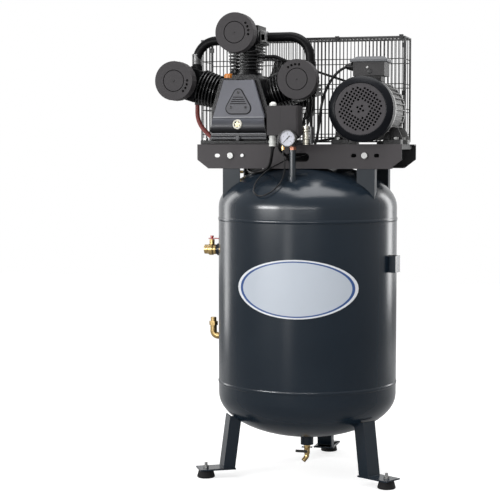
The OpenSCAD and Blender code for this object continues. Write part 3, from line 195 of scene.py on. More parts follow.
def face_outwards() -> None:
    """Turn the edited mesh's faces outwards and leave edit mode."""
    bpy.ops.mesh.select_all(action="SELECT")
    bpy.ops.mesh.normals_make_consistent(inside=False)
    bpy.ops.object.mode_set(mode="OBJECT")


def lathe(name: str, profile: Iterable[tuple[float, float]], centre: Point = (0, 0, 0),
          axis: Point = UP, steps: int = 64) -> Piece:
    """Spin a profile into a round piece.

    Args:
        name: Name of the new piece.
        profile: Pairs of radius and height in millimetres.
        centre: Where height 0 lies on the axis, in millimetres.
        axis: The way that the heights run.
        steps: Facets round the piece.

    Returns:
        The closed round piece, with its normals outwards.
    """
    piece = trace(name, [(radius, 0, height) for radius, height in profile])
    bpy.ops.mesh.select_all(action="SELECT")
    bpy.ops.mesh.spin(steps=steps, angle=math.tau, center=(0, 0, 0), axis=UP)
    bpy.ops.mesh.select_all(action="SELECT")
    bpy.ops.mesh.remove_doubles(threshold=SPIN_WELD)
    face_outwards()
    turn = Vector(UP).rotation_difference(Vector(axis)).to_matrix().to_4x4()
    piece.data.transform(Matrix.Translation(Vector(centre) * MM) @ turn)
    return piece


def prism(name: str, outline: Iterable[Point], travel: Point) -> Piece:
    """Extrude a flat outline into a solid.

    Args:
        name: Name of the new piece.
        outline: The outline's corners in millimetres.
        travel: How far the outline is extruded, in millimetres.

    Returns:
        The solid, with its normals outwards.
    """
    piece = trace(name, outline)
    bpy.ops.mesh.select_all(action="SELECT")
    bpy.ops.mesh.edge_face_add()
    bpy.ops.mesh.extrude_region_move(
        TRANSFORM_OT_translate={"value": Vector(travel) * MM, "orient_type": "GLOBAL"})
    face_outwards()
    return piece


def tube(name: str, route: Sequence[Point], radius: float) -> Piece:
    """Lay a round tube as a curve of one open spline.

    Args:
        name: Name of the new piece.
        route: The points that it passes, in millimetres.
        radius: Its radius in millimetres.

    Returns:
        The curve.
    """
    curve = bpy.data.curves.new(name, "CURVE")
    curve.dimensions = "3D"
    curve.bevel_depth = radius * MM
    curve.bevel_resolution = 4
    curve.resolution_u = 6
    curve.use_fill_caps = True
    spline = curve.splines.new("BEZIER")
    spline.bezier_points.add(len(route) - 1)
    for knot, place in zip(spline.bezier_points, route):
        knot.co = Vector(place) * MM
        knot.handle_left_type = knot.handle_right_type = "AUTO"
    piece = bpy.data.objects.new(name, curve)
    bpy.context.scene.collection.objects.link(piece)
    return piece


def duplicate(piece: Piece, name: str, move: Matrix) -> Piece:
    """Copy a piece with its own mesh.

    Args:
        piece: The piece to copy.
        name: Name of the copy.
        move: How the copy's mesh is moved.

    Returns:
        The copy.
    """
    twin = bpy.data.objects.new(name, piece.data.copy())
    bpy.context.scene.collection.objects.link(twin)
    twin.data.transform(move)
    return twin


def around(piece: Piece, name: str, turns: Iterable[float], centre: Point, axis: Point) -> Piece:
    """Copy a piece round an axis and join the copies.

    Args:
        piece: The piece to copy, which is then removed.
        name: Name of the joined piece.
        turns: How far each copy is turned, in degrees.
        centre: A point of the axis in millimetres.
        axis: The way that the axis runs.

    Returns:
        The joined piece.
    """
    out = Matrix.Translation(Vector(centre) * MM)
    copies = [duplicate(piece, name, out @ Matrix.Rotation(math.radians(turn), 4, Vector(axis))
                        @ out.inverted()) for turn in turns]
    bpy.data.objects.remove(piece)
    return join(name, copies)


def carve(piece: Piece, cutter: Piece) -> Piece:
    """Cut one piece out of another and remove the cutter.

    Args:
        piece: The piece to cut.
        cutter: The shape that is taken away.

    Returns:
        The piece that was cut.
    """
    modify(piece, "BOOLEAN", operation="DIFFERENCE", solver="EXACT", object=cutter)
    bpy.data.objects.remove(cutter)
    return piece


def block(name: str, low: Point, high: Point) -> Piece:
    """Extrude an upright block between two corners, in millimetres."""
    return prism(name, [low, (high[0], low[1], low[2]), (high[0], high[1], low[2]),
                        (low[0], high[1], low[2])], (0, 0, high[2] - low[2]))


# ---------------------------------------------------------------- finishes
def feed(tree: bpy.types.NodeTree, node: bpy.types.Node, feeds: dict) -> bpy.types.Node:
    """Link or set a node's sockets.

    Args:
        tree: The node tree that holds the node.
        node: The node to feed.
        feeds: Sockets by name or number, each with a value or a socket to link.

    Returns:
        The same node.
    """
    for socket, value in feeds.items():
        if isinstance(value, bpy.types.NodeSocket):
            tree.links.new(value, node.inputs[socket])
        else:
            node.inputs[socket].default_value = value
    return node


def lay(tree: bpy.types.NodeTree, kind: str, feeds: dict | None = None,
        **settings: object) -> bpy.types.Node:
    """Add a shader node and feed its sockets.

    Args:
        tree: The node tree to add to.
        kind: The node's type without its ShaderNode prefix.
        feeds: Its sockets, as for the function feed.
        settings: The node's own properties.

    Returns:
        The node.
    """
    node = tree.nodes.new("ShaderNode" + kind)
    for key, value in settings.items():
        setattr(node, key, value)
    return feed(tree, node, feeds or {})


class Effect:
    """A shared shader group that puts out a colour, a mask or a height."""

    def __init__(self, name: str, inputs: dict[str, object], outputs: dict[str, str]) -> None:
        """Open a group.

        Args:
            name: The group's name.
            inputs: Each input's name and default, a 4-tuple for a colour, 3 for a vector.
            outputs: Each output's name and socket type.
        """
        self.tree = bpy.data.node_groups.new(name, "ShaderNodeTree")
        for label, value in inputs.items():
            kind = "NodeSocketFloat"
            if isinstance(value, tuple):
                kind = "NodeSocketColor" if len(value) == 4 else "NodeSocketVector"
            socket = self.tree.interface.new_socket(label, in_out="INPUT", socket_type=kind)
            socket.default_value = value
        for label, kind in outputs.items():
            self.tree.interface.new_socket(label, in_out="OUTPUT", socket_type=kind)
        self.entry = self.tree.nodes.new("NodeGroupInput").outputs
        self.exit = self.tree.nodes.new("NodeGroupOutput").inputs

    def lay(self, kind: str, feeds: dict | None = None, **settings: object) -> bpy.types.Node:
        """Add a node to the group as the function lay does."""
        return lay(self.tree, kind, feeds, **settings)

    def sum(self, how: str, first: object, second: object, clamp: bool = False) -> object:
        """Add a Math node to the group and return its result."""
        return self.lay("Math", {0: first, 1: second}, operation=how, use_clamp=clamp).outputs[0]

    def give(self, label: str, socket: object) -> None:
        """Link a socket to one of the group's outputs."""
        self.tree.links.new(socket, self.exit[label])


def mottle_effect() -> Effect:
    """Make the group that varies a colour and its roughness in soft patches."""
    effect = Effect("mottle", {"Vector": (0.0, 0.0, 0.0), "Color": (0.5, 0.5, 0.5, 1.0),
                               "Roughness": 0.5, "Spread": 0.1, "Gloss Spread": 0.1, "Scale": 8.0},
                    {"Color": "NodeSocketColor", "Roughness": "NodeSocketFloat"})
    seen = effect.entry
    broad = effect.lay("TexNoise", {"Vector": seen["Vector"], "Scale": seen["Scale"],
                                    "Detail": 4.0})
    shift = effect.sum("SUBTRACT", broad.outputs["Fac"], 0.5)
    gain = effect.sum("MULTIPLY_ADD", shift, seen["Spread"])
    gain.node.inputs[2].default_value = 1.0
    tone = effect.lay("VectorMath", {0: seen["Color"], "Scale": gain}, operation="SCALE")
    effect.give("Color", tone.outputs[0])
    gloss = effect.sum("MULTIPLY_ADD", shift, seen["Gloss Spread"])
    effect.tree.links.new(seen["Roughness"], gloss.node.inputs[2])
    effect.give("Roughness", gloss)
    return effect


def dust_effect() -> Effect:
    """Make the group that lays a little dust on faces that look up."""
    effect = Effect("dust", {"Vector": (0.0, 0.0, 0.0), "Color": (0.5, 0.5, 0.5, 1.0),
                             "Amount": 0.1},
                    {"Color": "NodeSocketColor"})
    seen = effect.entry
    normal = effect.lay("SeparateXYZ", {0: effect.lay("NewGeometry").outputs["Normal"]})
    up = effect.sum("MULTIPLY", normal.outputs["Z"], 1.0, clamp=True)
    spots = effect.lay("TexNoise", {"Vector": seen["Vector"], "Scale": 60.0, "Detail": 6.0})
    mask = effect.sum("MULTIPLY", effect.sum("MULTIPLY", up, spots.outputs["Fac"]),
                      seen["Amount"], clamp=True)
    mixed = effect.lay("MixRGB", {0: mask, 1: seen["Color"], 2: (0.55, 0.53, 0.5, 1.0)})
    effect.give("Color", mixed.outputs[0])
    return effect


class Grain(Enum):
    """The fine relief that a finish carries."""

    PEEL = "orange_peel"
    CAST = "sand_cast"
    MOULD = "spark_eroded"
    TURNED = "turned"


def relief_effect(grain: Grain) -> Effect:
    """Make the group that gives one grain's height.

    Args:
        grain: The grain to make.

    Returns:
        The group.
    """
    effect = Effect(grain.value, {"Vector": (0.0, 0.0, 0.0), "Scale": 500.0},
                    {"Height": "NodeSocketFloat"})
    seen = effect.entry
    vector, detail = seen["Vector"], 2.0
    if grain is Grain.TURNED:
        stretch = effect.lay("VectorMath", {0: vector, 1: (0.08, 0.08, 1.0)}, operation="MULTIPLY")
        vector, detail = stretch.outputs[0], 6.0
    noise = effect.lay("TexNoise", {"Vector": vector, "Scale": seen["Scale"], "Detail": detail})
    height = noise.outputs["Fac"]
    if grain in (Grain.CAST, Grain.MOULD):
        pits = effect.lay("TexVoronoi", {"Vector": vector, "Scale": seen["Scale"]})
        height = effect.sum("ADD", height, effect.sum("MULTIPLY", pits.outputs["Distance"], 0.6))
    effect.give("Height", height)
    return effect


class Effects:
    """The shared shader groups, made once."""

    mottle: Effect = mottle_effect()
    dust: Effect = dust_effect()
    relief: dict[Grain, Effect] = {grain: relief_effect(grain) for grain in Grain}


@dataclass(frozen=True)
class Finish:
    """A surface finish, made into one material."""

    name: str
    slot: str
    color: Color
    roughness: float = 0.4
    metallic: float = 0.0
    specular: float = 0.5
    grain: Grain = Grain.PEEL
    grain_scale: float = 600.0
    relief: float = 0.15
    spread: float = 0.18
    gloss_spread: float = 0.12
    dust: float = 0.05
    patch: float = 9.0

    def base(self, tree: bpy.types.NodeTree, place: object) -> tuple[object, object]:
        """Lay the nodes for colour and roughness.

        Args:
            tree: The material's nodes.
            place: The socket with the place on the object.

        Returns:
            The colour and roughness sockets.
        """
        mottle = self.group(tree, Effects.mottle, {
            "Vector": place, "Color": (*self.color, 1.0), "Roughness": self.roughness,
            "Spread": self.spread, "Gloss Spread": self.gloss_spread, "Scale": self.patch})
        dust = self.group(tree, Effects.dust, {
            "Vector": place, "Color": mottle.outputs["Color"], "Amount": self.dust})
        return dust.outputs["Color"], mottle.outputs["Roughness"]

    def height(self, tree: bpy.types.NodeTree, place: object) -> object:
        """Lay the nodes for the relief and return the height socket."""
        return self.group(tree, Effects.relief[self.grain],
                          {"Vector": place, "Scale": self.grain_scale}).outputs["Height"]

    @staticmethod
    def group(tree: bpy.types.NodeTree, effect: Effect, feeds: dict) -> bpy.types.Node:
        """Place a shared group in a material.

        Args:
            tree: The material's nodes.
            effect: The shared group.
            feeds: Its inputs, as for the function feed.

        Returns:
            The group node.
        """
        node = tree.nodes.new("ShaderNodeGroup")
        node.node_tree = effect.tree
        return feed(tree, node, feeds)

    def material(self) -> bpy.types.Material:
        """Return this finish's material, made on first use."""
        known = bpy.data.materials.get("finish_" + self.name)
        if known:
            return known
        material = bpy.data.materials.new("finish_" + self.name)
        material.use_nodes = True
        tree = material.node_tree
        shader = tree.nodes["Principled BSDF"]
        place = lay(tree, "TexCoord").outputs["Object"]
        color, roughness = self.base(tree, place)
        bump = lay(tree, "Bump", {"Strength": self.relief, "Distance": MM,
                                  "Height": self.height(tree, place)})
        feed(tree, shader, {"Base Color": color, "Roughness": roughness, "Metallic": self.metallic,
                            "Specular IOR Level": self.specular, "Normal": bump.outputs[0]})
        return material


@dataclass(frozen=True)
class PlateFinish(Finish):
    """A pale oval plate with a white rim and a thin blue border."""

    height_mid: float = 650.0
    turn: float = 5.5
    half_width: float = 196.0
    half_height: float = 95.0
    rim: float = 0.95
    border: tuple[float, float] = (0.905, 0.95)

    def base(self, tree: bpy.types.NodeTree, place: object) -> tuple[object, object]:
        """Lay the nodes for the oval bands; the arguments are those of Finish.base."""
        color, roughness = super().base(tree, place)

        def work(how: str, first: object, second: object) -> object:
            return lay(tree, "Math", {0: first, 1: second}, operation=how).outputs[0]

        spot = lay(tree, "SeparateXYZ", {0: place}).outputs
        turn = math.radians(self.turn)
        wide = work("ADD", work("MULTIPLY", spot["X"], math.cos(turn)),
                    work("MULTIPLY", spot["Y"], math.sin(turn)))
        tall = work("SUBTRACT", spot["Z"], self.height_mid * MM)
        wide = work("POWER", work("DIVIDE", work("ABSOLUTE", wide, 0), self.half_width * MM), 2.0)
        tall = work("POWER", work("DIVIDE", work("ABSOLUTE", tall, 0), self.half_height * MM), 2.0)
        round_off = work("SQRT", work("ADD", wide, tall), 0)
        edge = work("GREATER_THAN", round_off, self.rim)
        band = work("MULTIPLY", work("GREATER_THAN", round_off, self.border[0]),
                    work("LESS_THAN", round_off, self.border[1]))
        white = lay(tree, "MixRGB", {0: edge, 1: color, 2: (0.78, 0.8, 0.84, 1.0)})
        blue = lay(tree, "MixRGB", {0: band, 1: white.outputs[0], 2: (0.035, 0.09, 0.27, 1.0)})
        return blue.outputs[0], roughness


@dataclass(frozen=True)
class PaintedReflectionFinish(Finish):
    """A dark lacquer with a painted reflection: lighter at the top, fading to near black towards
    its lower edge.
    """

    bottom: float = 1149.0
    top: float = 1198.0
    # Near-black colour at the lower edge: the dark part of the painted reflection.
    low: Color = (0.002, 0.002, 0.003)

    def base(self, tree: bpy.types.NodeTree, place: object) -> tuple[object, object]:
        """Lay the nodes for the painted reflection's fade; the arguments are those of Finish.base.
        """
        color, roughness = super().base(tree, place)
        height = lay(tree, "SeparateXYZ", {0: place}).outputs["Z"]
        share = lay(tree, "MapRange", {"Value": height, "From Min": self.bottom * MM,
                                       "From Max": self.top * MM}, interpolation_type="SMOOTHSTEP")
        mixed = lay(tree, "MixRGB", {0: share.outputs[0], 1: (*self.low, 1.0), 2: color})
        return mixed.outputs[0], roughness


TANK_PAINT = Finish("tank_paint", "tank_paint", (0.0065, 0.0135, 0.0225), 0.22, specular=0.25,
                    grain_scale=260.0, relief=0.1, patch=4.0, dust=0.02)
RAIL_PAINT = Finish("rail_paint", "rail_paint", (0.056, 0.051, 0.054), 0.6, specular=0.15,
                    grain_scale=900.0, spread=0.1, dust=0.02)
# Painted shade: a near-black copy of the rail paint for rail parts that lie in shade.
RAIL_PAINTED_SHADE = Finish("rail_painted_shade", "rail_paint", (0.012, 0.012, 0.013), 0.5, specular=0.15,
                    grain_scale=900.0, dust=0.02)
POST_PAINT = Finish("post_paint", "tank_paint", (0.017, 0.023, 0.03), 0.4, specular=0.12,
                    grain_scale=500.0)
RISER_PAINT = Finish("riser_paint", "tank_paint", (0.011, 0.018, 0.025), 0.24, specular=0.35,
                     grain_scale=300.0, relief=0.05, dust=0.0)
RUBBER = Finish("rubber", "rubber", (0.008, 0.008, 0.009), 0.75, specular=0.15,
                grain=Grain.MOULD)
ZINC = Finish("zinc", "zinc", (0.2, 0.2, 0.197), 0.42, metallic=0.6, grain=Grain.TURNED)
STEEL = Finish("steel", "zinc", (0.5, 0.5, 0.5), 0.3, metallic=1.0, grain=Grain.TURNED)
PUMP_BLACK = Finish("pump_black", "pump_black", (0.003, 0.0031, 0.0037), 0.27, specular=0.09,
                    grain=Grain.CAST, grain_scale=420.0, relief=0.3, dust=0.01)
# Painted highlight: a lighter copy of the pump black for the rims of the fins.
FIN_RIM_HIGHLIGHT = Finish("fin_rim_highlight", "pump_black", (0.008, 0.0083, 0.0095), 0.26, specular=0.28,
                  grain=Grain.CAST, grain_scale=420.0, relief=0.3, dust=0.0)
COVER_GREY = Finish("cover_grey", "cover_grey", (0.13, 0.133, 0.156), 0.5, specular=0.2,
                    grain=Grain.MOULD, grain_scale=1400.0, relief=0.3)
COVER_BADGE = Finish("cover_badge", "cover_grey", (0.085, 0.085, 0.097), 0.5, specular=0.2,
                     grain=Grain.MOULD, grain_scale=1400.0, relief=0.2)
COVER_GLOSS = Finish("cover_gloss", "cover_grey", (0.004, 0.0043, 0.0055), 0.22, specular=0.2,
                     grain_scale=500.0, relief=0.05)
# Painted reflection: this lacquer fades from grey at the top to near black at its lower edge.
COVER_BAND_PAINTED_REFLECTION = PaintedReflectionFinish("cover_band_painted_reflection", "cover_grey", (0.075, 0.078, 0.092), 0.3, specular=0.15,
                        grain_scale=500.0, relief=0.05, spread=0.05, dust=0.0)
COVER_LOW = Finish("cover_low", "cover_grey", (0.026, 0.027, 0.032), 0.35, specular=0.2,
                   grain=Grain.MOULD, grain_scale=1400.0)
CAST_ALU = Finish("cast_aluminium", "cast_alu", (0.1, 0.1, 0.099), 0.5, metallic=0.2,
                  grain=Grain.CAST, grain_scale=700.0, relief=0.4)
SHIELD_ALU = Finish("shield_aluminium", "cast_alu", (0.42, 0.42, 0.41), 0.4, metallic=0.5,
                    grain=Grain.TURNED)
SLEEVE = Finish("sleeve", "black_pipe", (0.035, 0.035, 0.036), 0.35, grain_scale=300.0)
# Painted shadow: the black seam that stands for the shadow gap round the badge.
BADGE_SHADOW_SEAM = Finish("badge_shadow_seam", "cover_grey", (0.003, 0.003, 0.0035), 0.6, specular=0.1,
                    grain=Grain.MOULD)
# Painted highlight: the light grey of the cover's ledges stands for the light line along them.
COVER_EDGE_HIGHLIGHT = Finish("cover_edge_highlight", "cover_grey", (0.2, 0.205, 0.225), 0.4, grain=Grain.MOULD)
SIGHT_WHITE = Finish("sight_white", "sight", (0.6, 0.58, 0.5), 0.4, grain=Grain.MOULD)
SIGHT_BRASS = Finish("sight_brass", "sight", (0.36, 0.31, 0.19), 0.38, metallic=0.6,
                     grain=Grain.TURNED)
PORT_GREY = Finish("port_grey", "cast_alu", (0.2, 0.2, 0.2), 0.45, metallic=0.2,
                   grain=Grain.CAST, grain_scale=700.0, relief=0.4)
FILTER_GREY = Finish("filter_grey", "filter_grey", (0.044, 0.041, 0.0435), 0.6, specular=0.12,
                     grain=Grain.MOULD, grain_scale=1500.0, relief=0.1, spread=0.1, dust=0.0)
BLACK_PIPE = Finish("black_pipe", "black_pipe", (0.004, 0.004, 0.0045), 0.42, specular=0.05,
                    grain_scale=300.0, dust=0.0)
# Painted shade: a flat, unlit black for grooves, seams, recess floors and the disc behind the
# grille.
PAINTED_SHADE_BLACK = Finish("painted_shade_black", "pump_black", (0.001, 0.001, 0.001), 0.9, specular=0.0,
                    grain=Grain.MOULD, dust=0.0)
COPPER = Finish("copper", "copper", (0.26, 0.062, 0.055), 0.5, specular=0.12, dust=0.0,
                grain=Grain.TURNED)
NUT_COPPER = Finish("nut_copper", "copper", (0.22, 0.095, 0.06), 0.3, metallic=0.7,
                    grain=Grain.TURNED)
COWL = Finish("cowl", "cowl", (0.005, 0.0058, 0.008), 0.3, specular=0.08, grain_scale=700.0,
              dust=0.02)
GRILLE = Finish("grille", "cowl", (0.05, 0.046, 0.05), 0.55, specular=0.15, grain=Grain.MOULD,
                grain_scale=900.0, dust=0.0)
BLACK_PLASTIC = Finish("black_plastic", "black_plastic", (0.008, 0.008, 0.009), 0.4,
                       specular=0.2, grain=Grain.MOULD, grain_scale=1500.0, dust=0.01)
BOX_GREY = Finish("box_grey", "black_plastic", (0.018, 0.017, 0.018), 0.5, specular=0.2,
                  grain=Grain.MOULD, grain_scale=900.0)
LID_GREY = Finish("lid_grey", "black_plastic", (0.075, 0.08, 0.09), 0.4, specular=0.3,
                  grain=Grain.MOULD, grain_scale=900.0)
SWITCH_PLASTIC = Finish("switch_plastic", "black_plastic", (0.042, 0.039, 0.0415), 0.6,
                        specular=0.12, grain=Grain.MOULD, grain_scale=1500.0, dust=0.0)
WIRE_BLACK = Finish("wire_black", "wire_black", (0.006, 0.006, 0.007), 0.35, specular=0.25,
                    dust=0.0)
WHITE_PLASTIC = Finish("white_plastic", "white_plastic", (0.72, 0.73, 0.7), 0.4,
                       grain=Grain.MOULD, relief=0.05, dust=0.0)
DIAL_WHITE = Finish("dial_white", "gauge", (0.52, 0.53, 0.61), 0.35, grain=Grain.MOULD,
                    grain_scale=1500.0, relief=0.04, dust=0.0)
DARK_FITTING = Finish("dark_fitting", "fitting", (0.012, 0.0125, 0.014), 0.3, specular=0.3)
BRASS = Finish("brass", "brass", (0.36, 0.255, 0.11), 0.32, metallic=0.85, grain=Grain.TURNED)
NICKEL = Finish("nickel", "brass", (0.4, 0.38, 0.32), 0.3, metallic=0.6, grain=Grain.TURNED)
RED_PAINT = Finish("red_paint", "lever_red", (0.45, 0.02, 0.015), 0.35)
DRAIN_BLACK = Finish("drain_black", "lever_red", (0.012, 0.011, 0.011), 0.4, specular=0.3)
ORANGE = Finish("orange", "orange", (0.85, 0.27, 0.008), 0.45, grain=Grain.MOULD, relief=0.05)
CORD_BLACK = Finish("cord_black", "cord", (0.004, 0.004, 0.0045), 0.4, specular=0.2, dust=0.0)
GAUGE_BLACK = Finish("gauge_black", "gauge", (0.01, 0.01, 0.011), 0.3, specular=0.3)
NEEDLE_BLACK = Finish("needle_black", "needle", (0.006, 0.006, 0.006), 0.5, dust=0.0)
PLATE = PlateFinish("plate", "plate", (0.54, 0.59, 0.66), 0.35, specular=0.3, grain_scale=900.0,
                    spread=0.06, dust=0.0)


def settle(piece: Piece, finish: Finish, *nodes: str, body: str = ROOT) -> Piece:
    """Give a piece its material, its body and the CAD nodes that it stands for.

    Args:
        piece: The finished piece.
        finish: Its finish.
        nodes: The CAD nodes that it replaces.
        body: The CAD body that it moves with.

    Returns:
        The same piece.
    """
    piece.data.materials.clear()
    piece.data.materials.append(finish.material())
    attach(piece, body)
    if nodes:
        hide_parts(*nodes)
    LOG.info("%s on %s", piece.name, body)
    return piece


def dressed(name: str, finish: Finish, *nodes: str, width: float, angle: float,
            body: str) -> Piece:
    """Copy CAD nodes, round their edges and finish them.

    Args:
        name: Name of the new piece.
        finish: Its finish.
        nodes: The CAD nodes that it replaces.
        width: Width of the edge rounding in millimetres.
        angle: Edges sharper than this many degrees are rounded.
        body: The CAD body that it moves with.

    Returns:
        The new piece.
    """
    return settle(soften(copy_of(name, *nodes), width, angle), finish, *nodes, body=body)


def part_of(name: str, finish: Finish, node: str, holds: Callable[[Vector], bool],
            width: float = 0.5, body: str = ROOT) -> Piece:
    """Copy the faces of a CAD node that pass a test and finish them.

    Args:
        name: Name of the new piece.
        finish: Its finish.
        node: The CAD node that it replaces.
        holds: Tells from a face's middle, in millimetres, whether it is kept.
        width: Width of the edge rounding in millimetres.
        body: The CAD body that it moves with.

    Returns:
        The new piece.
    """
    piece = soften(copy_of(name, node), width)
    bpy.ops.object.mode_set(mode="EDIT")
    bpy.ops.mesh.select_mode(type="FACE")
    bpy.ops.mesh.select_all(action="DESELECT")
    mesh = bmesh.from_edit_mesh(piece.data)
    for face in mesh.faces:
        face.select_set(not holds(face.calc_center_bounds() / MM))
    bmesh.update_edit_mesh(piece.data)
    bpy.ops.mesh.delete(type="FACE")
    bpy.ops.object.mode_set(mode="OBJECT")
    return settle(piece, finish, node, body=body)


def turned(name: str, profile: Iterable[tuple[float, float]], finish: Finish, *nodes: str,
           centre: Point, axis: Point = FRONT, steps: int = 64, width: float = 0.3,
           angle: float = CRISP_ANGLE) -> Piece:
    """Spin a profile, round its edges and finish it.

    Args:
        name: Name of the new piece.
        profile: Pairs of radius and height in millimetres.
        finish: Its finish.
        nodes: The CAD nodes that it replaces.
        centre: Where height 0 lies on the axis, in millimetres.
        axis: The way that the heights run.
        steps: Facets round the piece.
        width: Width of the edge rounding in millimetres.
        angle: Edges sharper than this many degrees are rounded.

    Returns:
        The new piece.
    """
    return settle(soften(lathe(name, profile, centre, axis, steps), width, angle), finish, *nodes)


# ---------------------------------------------------------------- camera, floor and light
class Throw(Enum):
    """What a lamp lights."""

    ALL = "all"
    WASH = "diffuse_only"
    SHEEN = "reflections_only"


@dataclass
class Studio:
    """The camera, the floor, the surroundings and the lamps."""

    eye: Point = (1.1024, -4.71898, 1.08985)
    sight: Point = (-0.26573385, 0.96159338, -0.0687292)
    lens: float = 103.45
    floor_size: float = 14.0
    floor_tone: float = 0.62
    floor_lift: float = 0.7
    fill: float = 0.5
    lamps: tuple[tuple[str, Point, Point, tuple[float, float], float, Throw], ...] = (
        ("key", (-2.4, -3.2, 3.3), (0.0, 0.0, 0.9), (1.6, 1.6), 66.0, Throw.WASH),
        ("front_strip", (-0.9, -4.5, 1.2), (0.0, 0.0, 0.8), (0.7, 2.6), 26.0, Throw.ALL),
        ("rim_left", (-2.6, 0.9, 1.3), (0.0, 0.0, 0.7), (0.6, 2.4), 26.0, Throw.ALL),
        ("rim_right", (2.2, 2.6, 1.4), (0.0, 0.0, 0.7), (0.8, 2.4), 44.0, Throw.ALL),
        ("overhead", (0.5, -0.7, 3.4), (0.0, 0.0, 1.0), (0.9, 0.7), 44.0, Throw.WASH),
        ("ceiling", (0.35, -0.35, 3.5), (0.1, 0.0, 0.9), (2.4, 2.2), 125.0, Throw.SHEEN),
        ("left_band", (-2.45, -3.4, 1.45), (0.0, -0.3, 0.9), (2.0, 0.4), 210.0, Throw.SHEEN),
        ("front_band", (0.3, -4.3, 1.45), (0.0, -0.3, 0.9), (3.2, 0.3), 56.0, Throw.SHEEN),
    )

    def set_camera(self) -> None:
        """Stand the camera where the object is seen from its right and a little above."""
        data = bpy.data.cameras.new("camera")
        data.lens, data.sensor_width = self.lens, 36.0
        data.clip_start, data.clip_end = 0.1, 60.0
        camera = bpy.data.objects.new("camera", data)
        camera.location = self.eye
        camera.rotation_mode = "QUATERNION"
        camera.rotation_quaternion = Vector(self.sight).to_track_quat("-Z", "Y")
        bpy.context.scene.collection.objects.link(camera)
        bpy.context.scene.camera = camera

    def lay_floor(self) -> None:
        """Lay a pale floor that shows white and keeps the shadow."""
        clear_bench()
        bpy.ops.mesh.primitive_plane_add(size=self.floor_size, location=(0, 0, -0.0005))
        floor = bpy.context.object
        floor.name = "floor"
        material = bpy.data.materials.new("floor_white")
        material.use_nodes = True
        tree = material.node_tree
        tree.nodes.clear()
        paper = lay(tree, "BsdfDiffuse", {"Color": (*[self.floor_tone] * 3, 1.0)})
        seen = lay(tree, "LightPath").outputs["Is Camera Ray"]
        lift = lay(tree, "Math", {0: seen, 1: self.floor_lift}, operation="MULTIPLY")
        glow = lay(tree, "Emission", {"Color": (1, 1, 1, 1), "Strength": lift.outputs[0]})
        both = lay(tree, "AddShader", {0: paper.outputs[0], 1: glow.outputs[0]})
        lay(tree, "OutputMaterial", {"Surface": both.outputs[0]})
        floor.data.materials.append(material)

    def set_world(self) -> None:
        """Surround the object with soft light and a white background."""
        world = bpy.data.worlds.new("surroundings")
        bpy.context.scene.world = world
        world.use_nodes = True
        tree = world.node_tree
        tree.nodes.clear()
        path = lay(tree, "LightPath")
        seen = path.outputs["Is Camera Ray"]
        for label in ("Is Glossy Ray", "Is Transmission Ray"):
            seen = lay(tree, "Math", {0: seen, 1: path.outputs[label]},
                       operation="MAXIMUM").outputs[0]
        soft = lay(tree, "Background", {"Color": (1, 1, 1, 1), "Strength": self.fill})
        white = lay(tree, "Background", {"Color": (1, 1, 1, 1), "Strength": 1.0})
        mix = lay(tree, "MixShader", {0: seen, 1: soft.outputs[0], 2: white.outputs[0]})
        lay(tree, "OutputWorld", {"Surface": mix.outputs[0]})

    def hang_lamps(self) -> None:
        """Hang the soft lamps, each turned to its own target."""
        for name, place, target, size, power, throw in self.lamps:
            data = bpy.data.lights.new(name, "AREA")
            data.shape, data.size, data.size_y = "RECTANGLE", *size
            data.energy = power
            lamp = bpy.data.objects.new(name, data)
            lamp.location = place
            way = Vector(target) - Vector(place)
            lamp.visible_camera = False
            lamp.visible_diffuse = throw is not Throw.SHEEN
            lamp.visible_glossy = throw is not Throw.WASH
            lamp.rotation_mode = "QUATERNION"
            lamp.rotation_quaternion = way.to_track_quat("-Z", "Y")
            bpy.context.scene.collection.objects.link(lamp)

    def build(self) -> None:
        """Set up the camera, the floor, the surroundings and the lamps."""
        bpy.context.scene.view_settings.view_transform = "Standard"
        self.set_camera()
        self.lay_floor()
        self.set_world()
        self.hang_lamps()


# ---------------------------------------------------------------- cables
@dataclass(frozen=True)
class Lead:
    """A cable or tube that runs between two places on the object."""

    name: str
    node: str
    radius: float
    length: float
    route: tuple[Point, ...]

    def build(self) -> Piece:
        piece = tube(self.name, self.route, self.radius)
        settle(piece, CORD_BLACK, self.node)
        tuple(Vector(self.route[0]) * MM)
        return piece


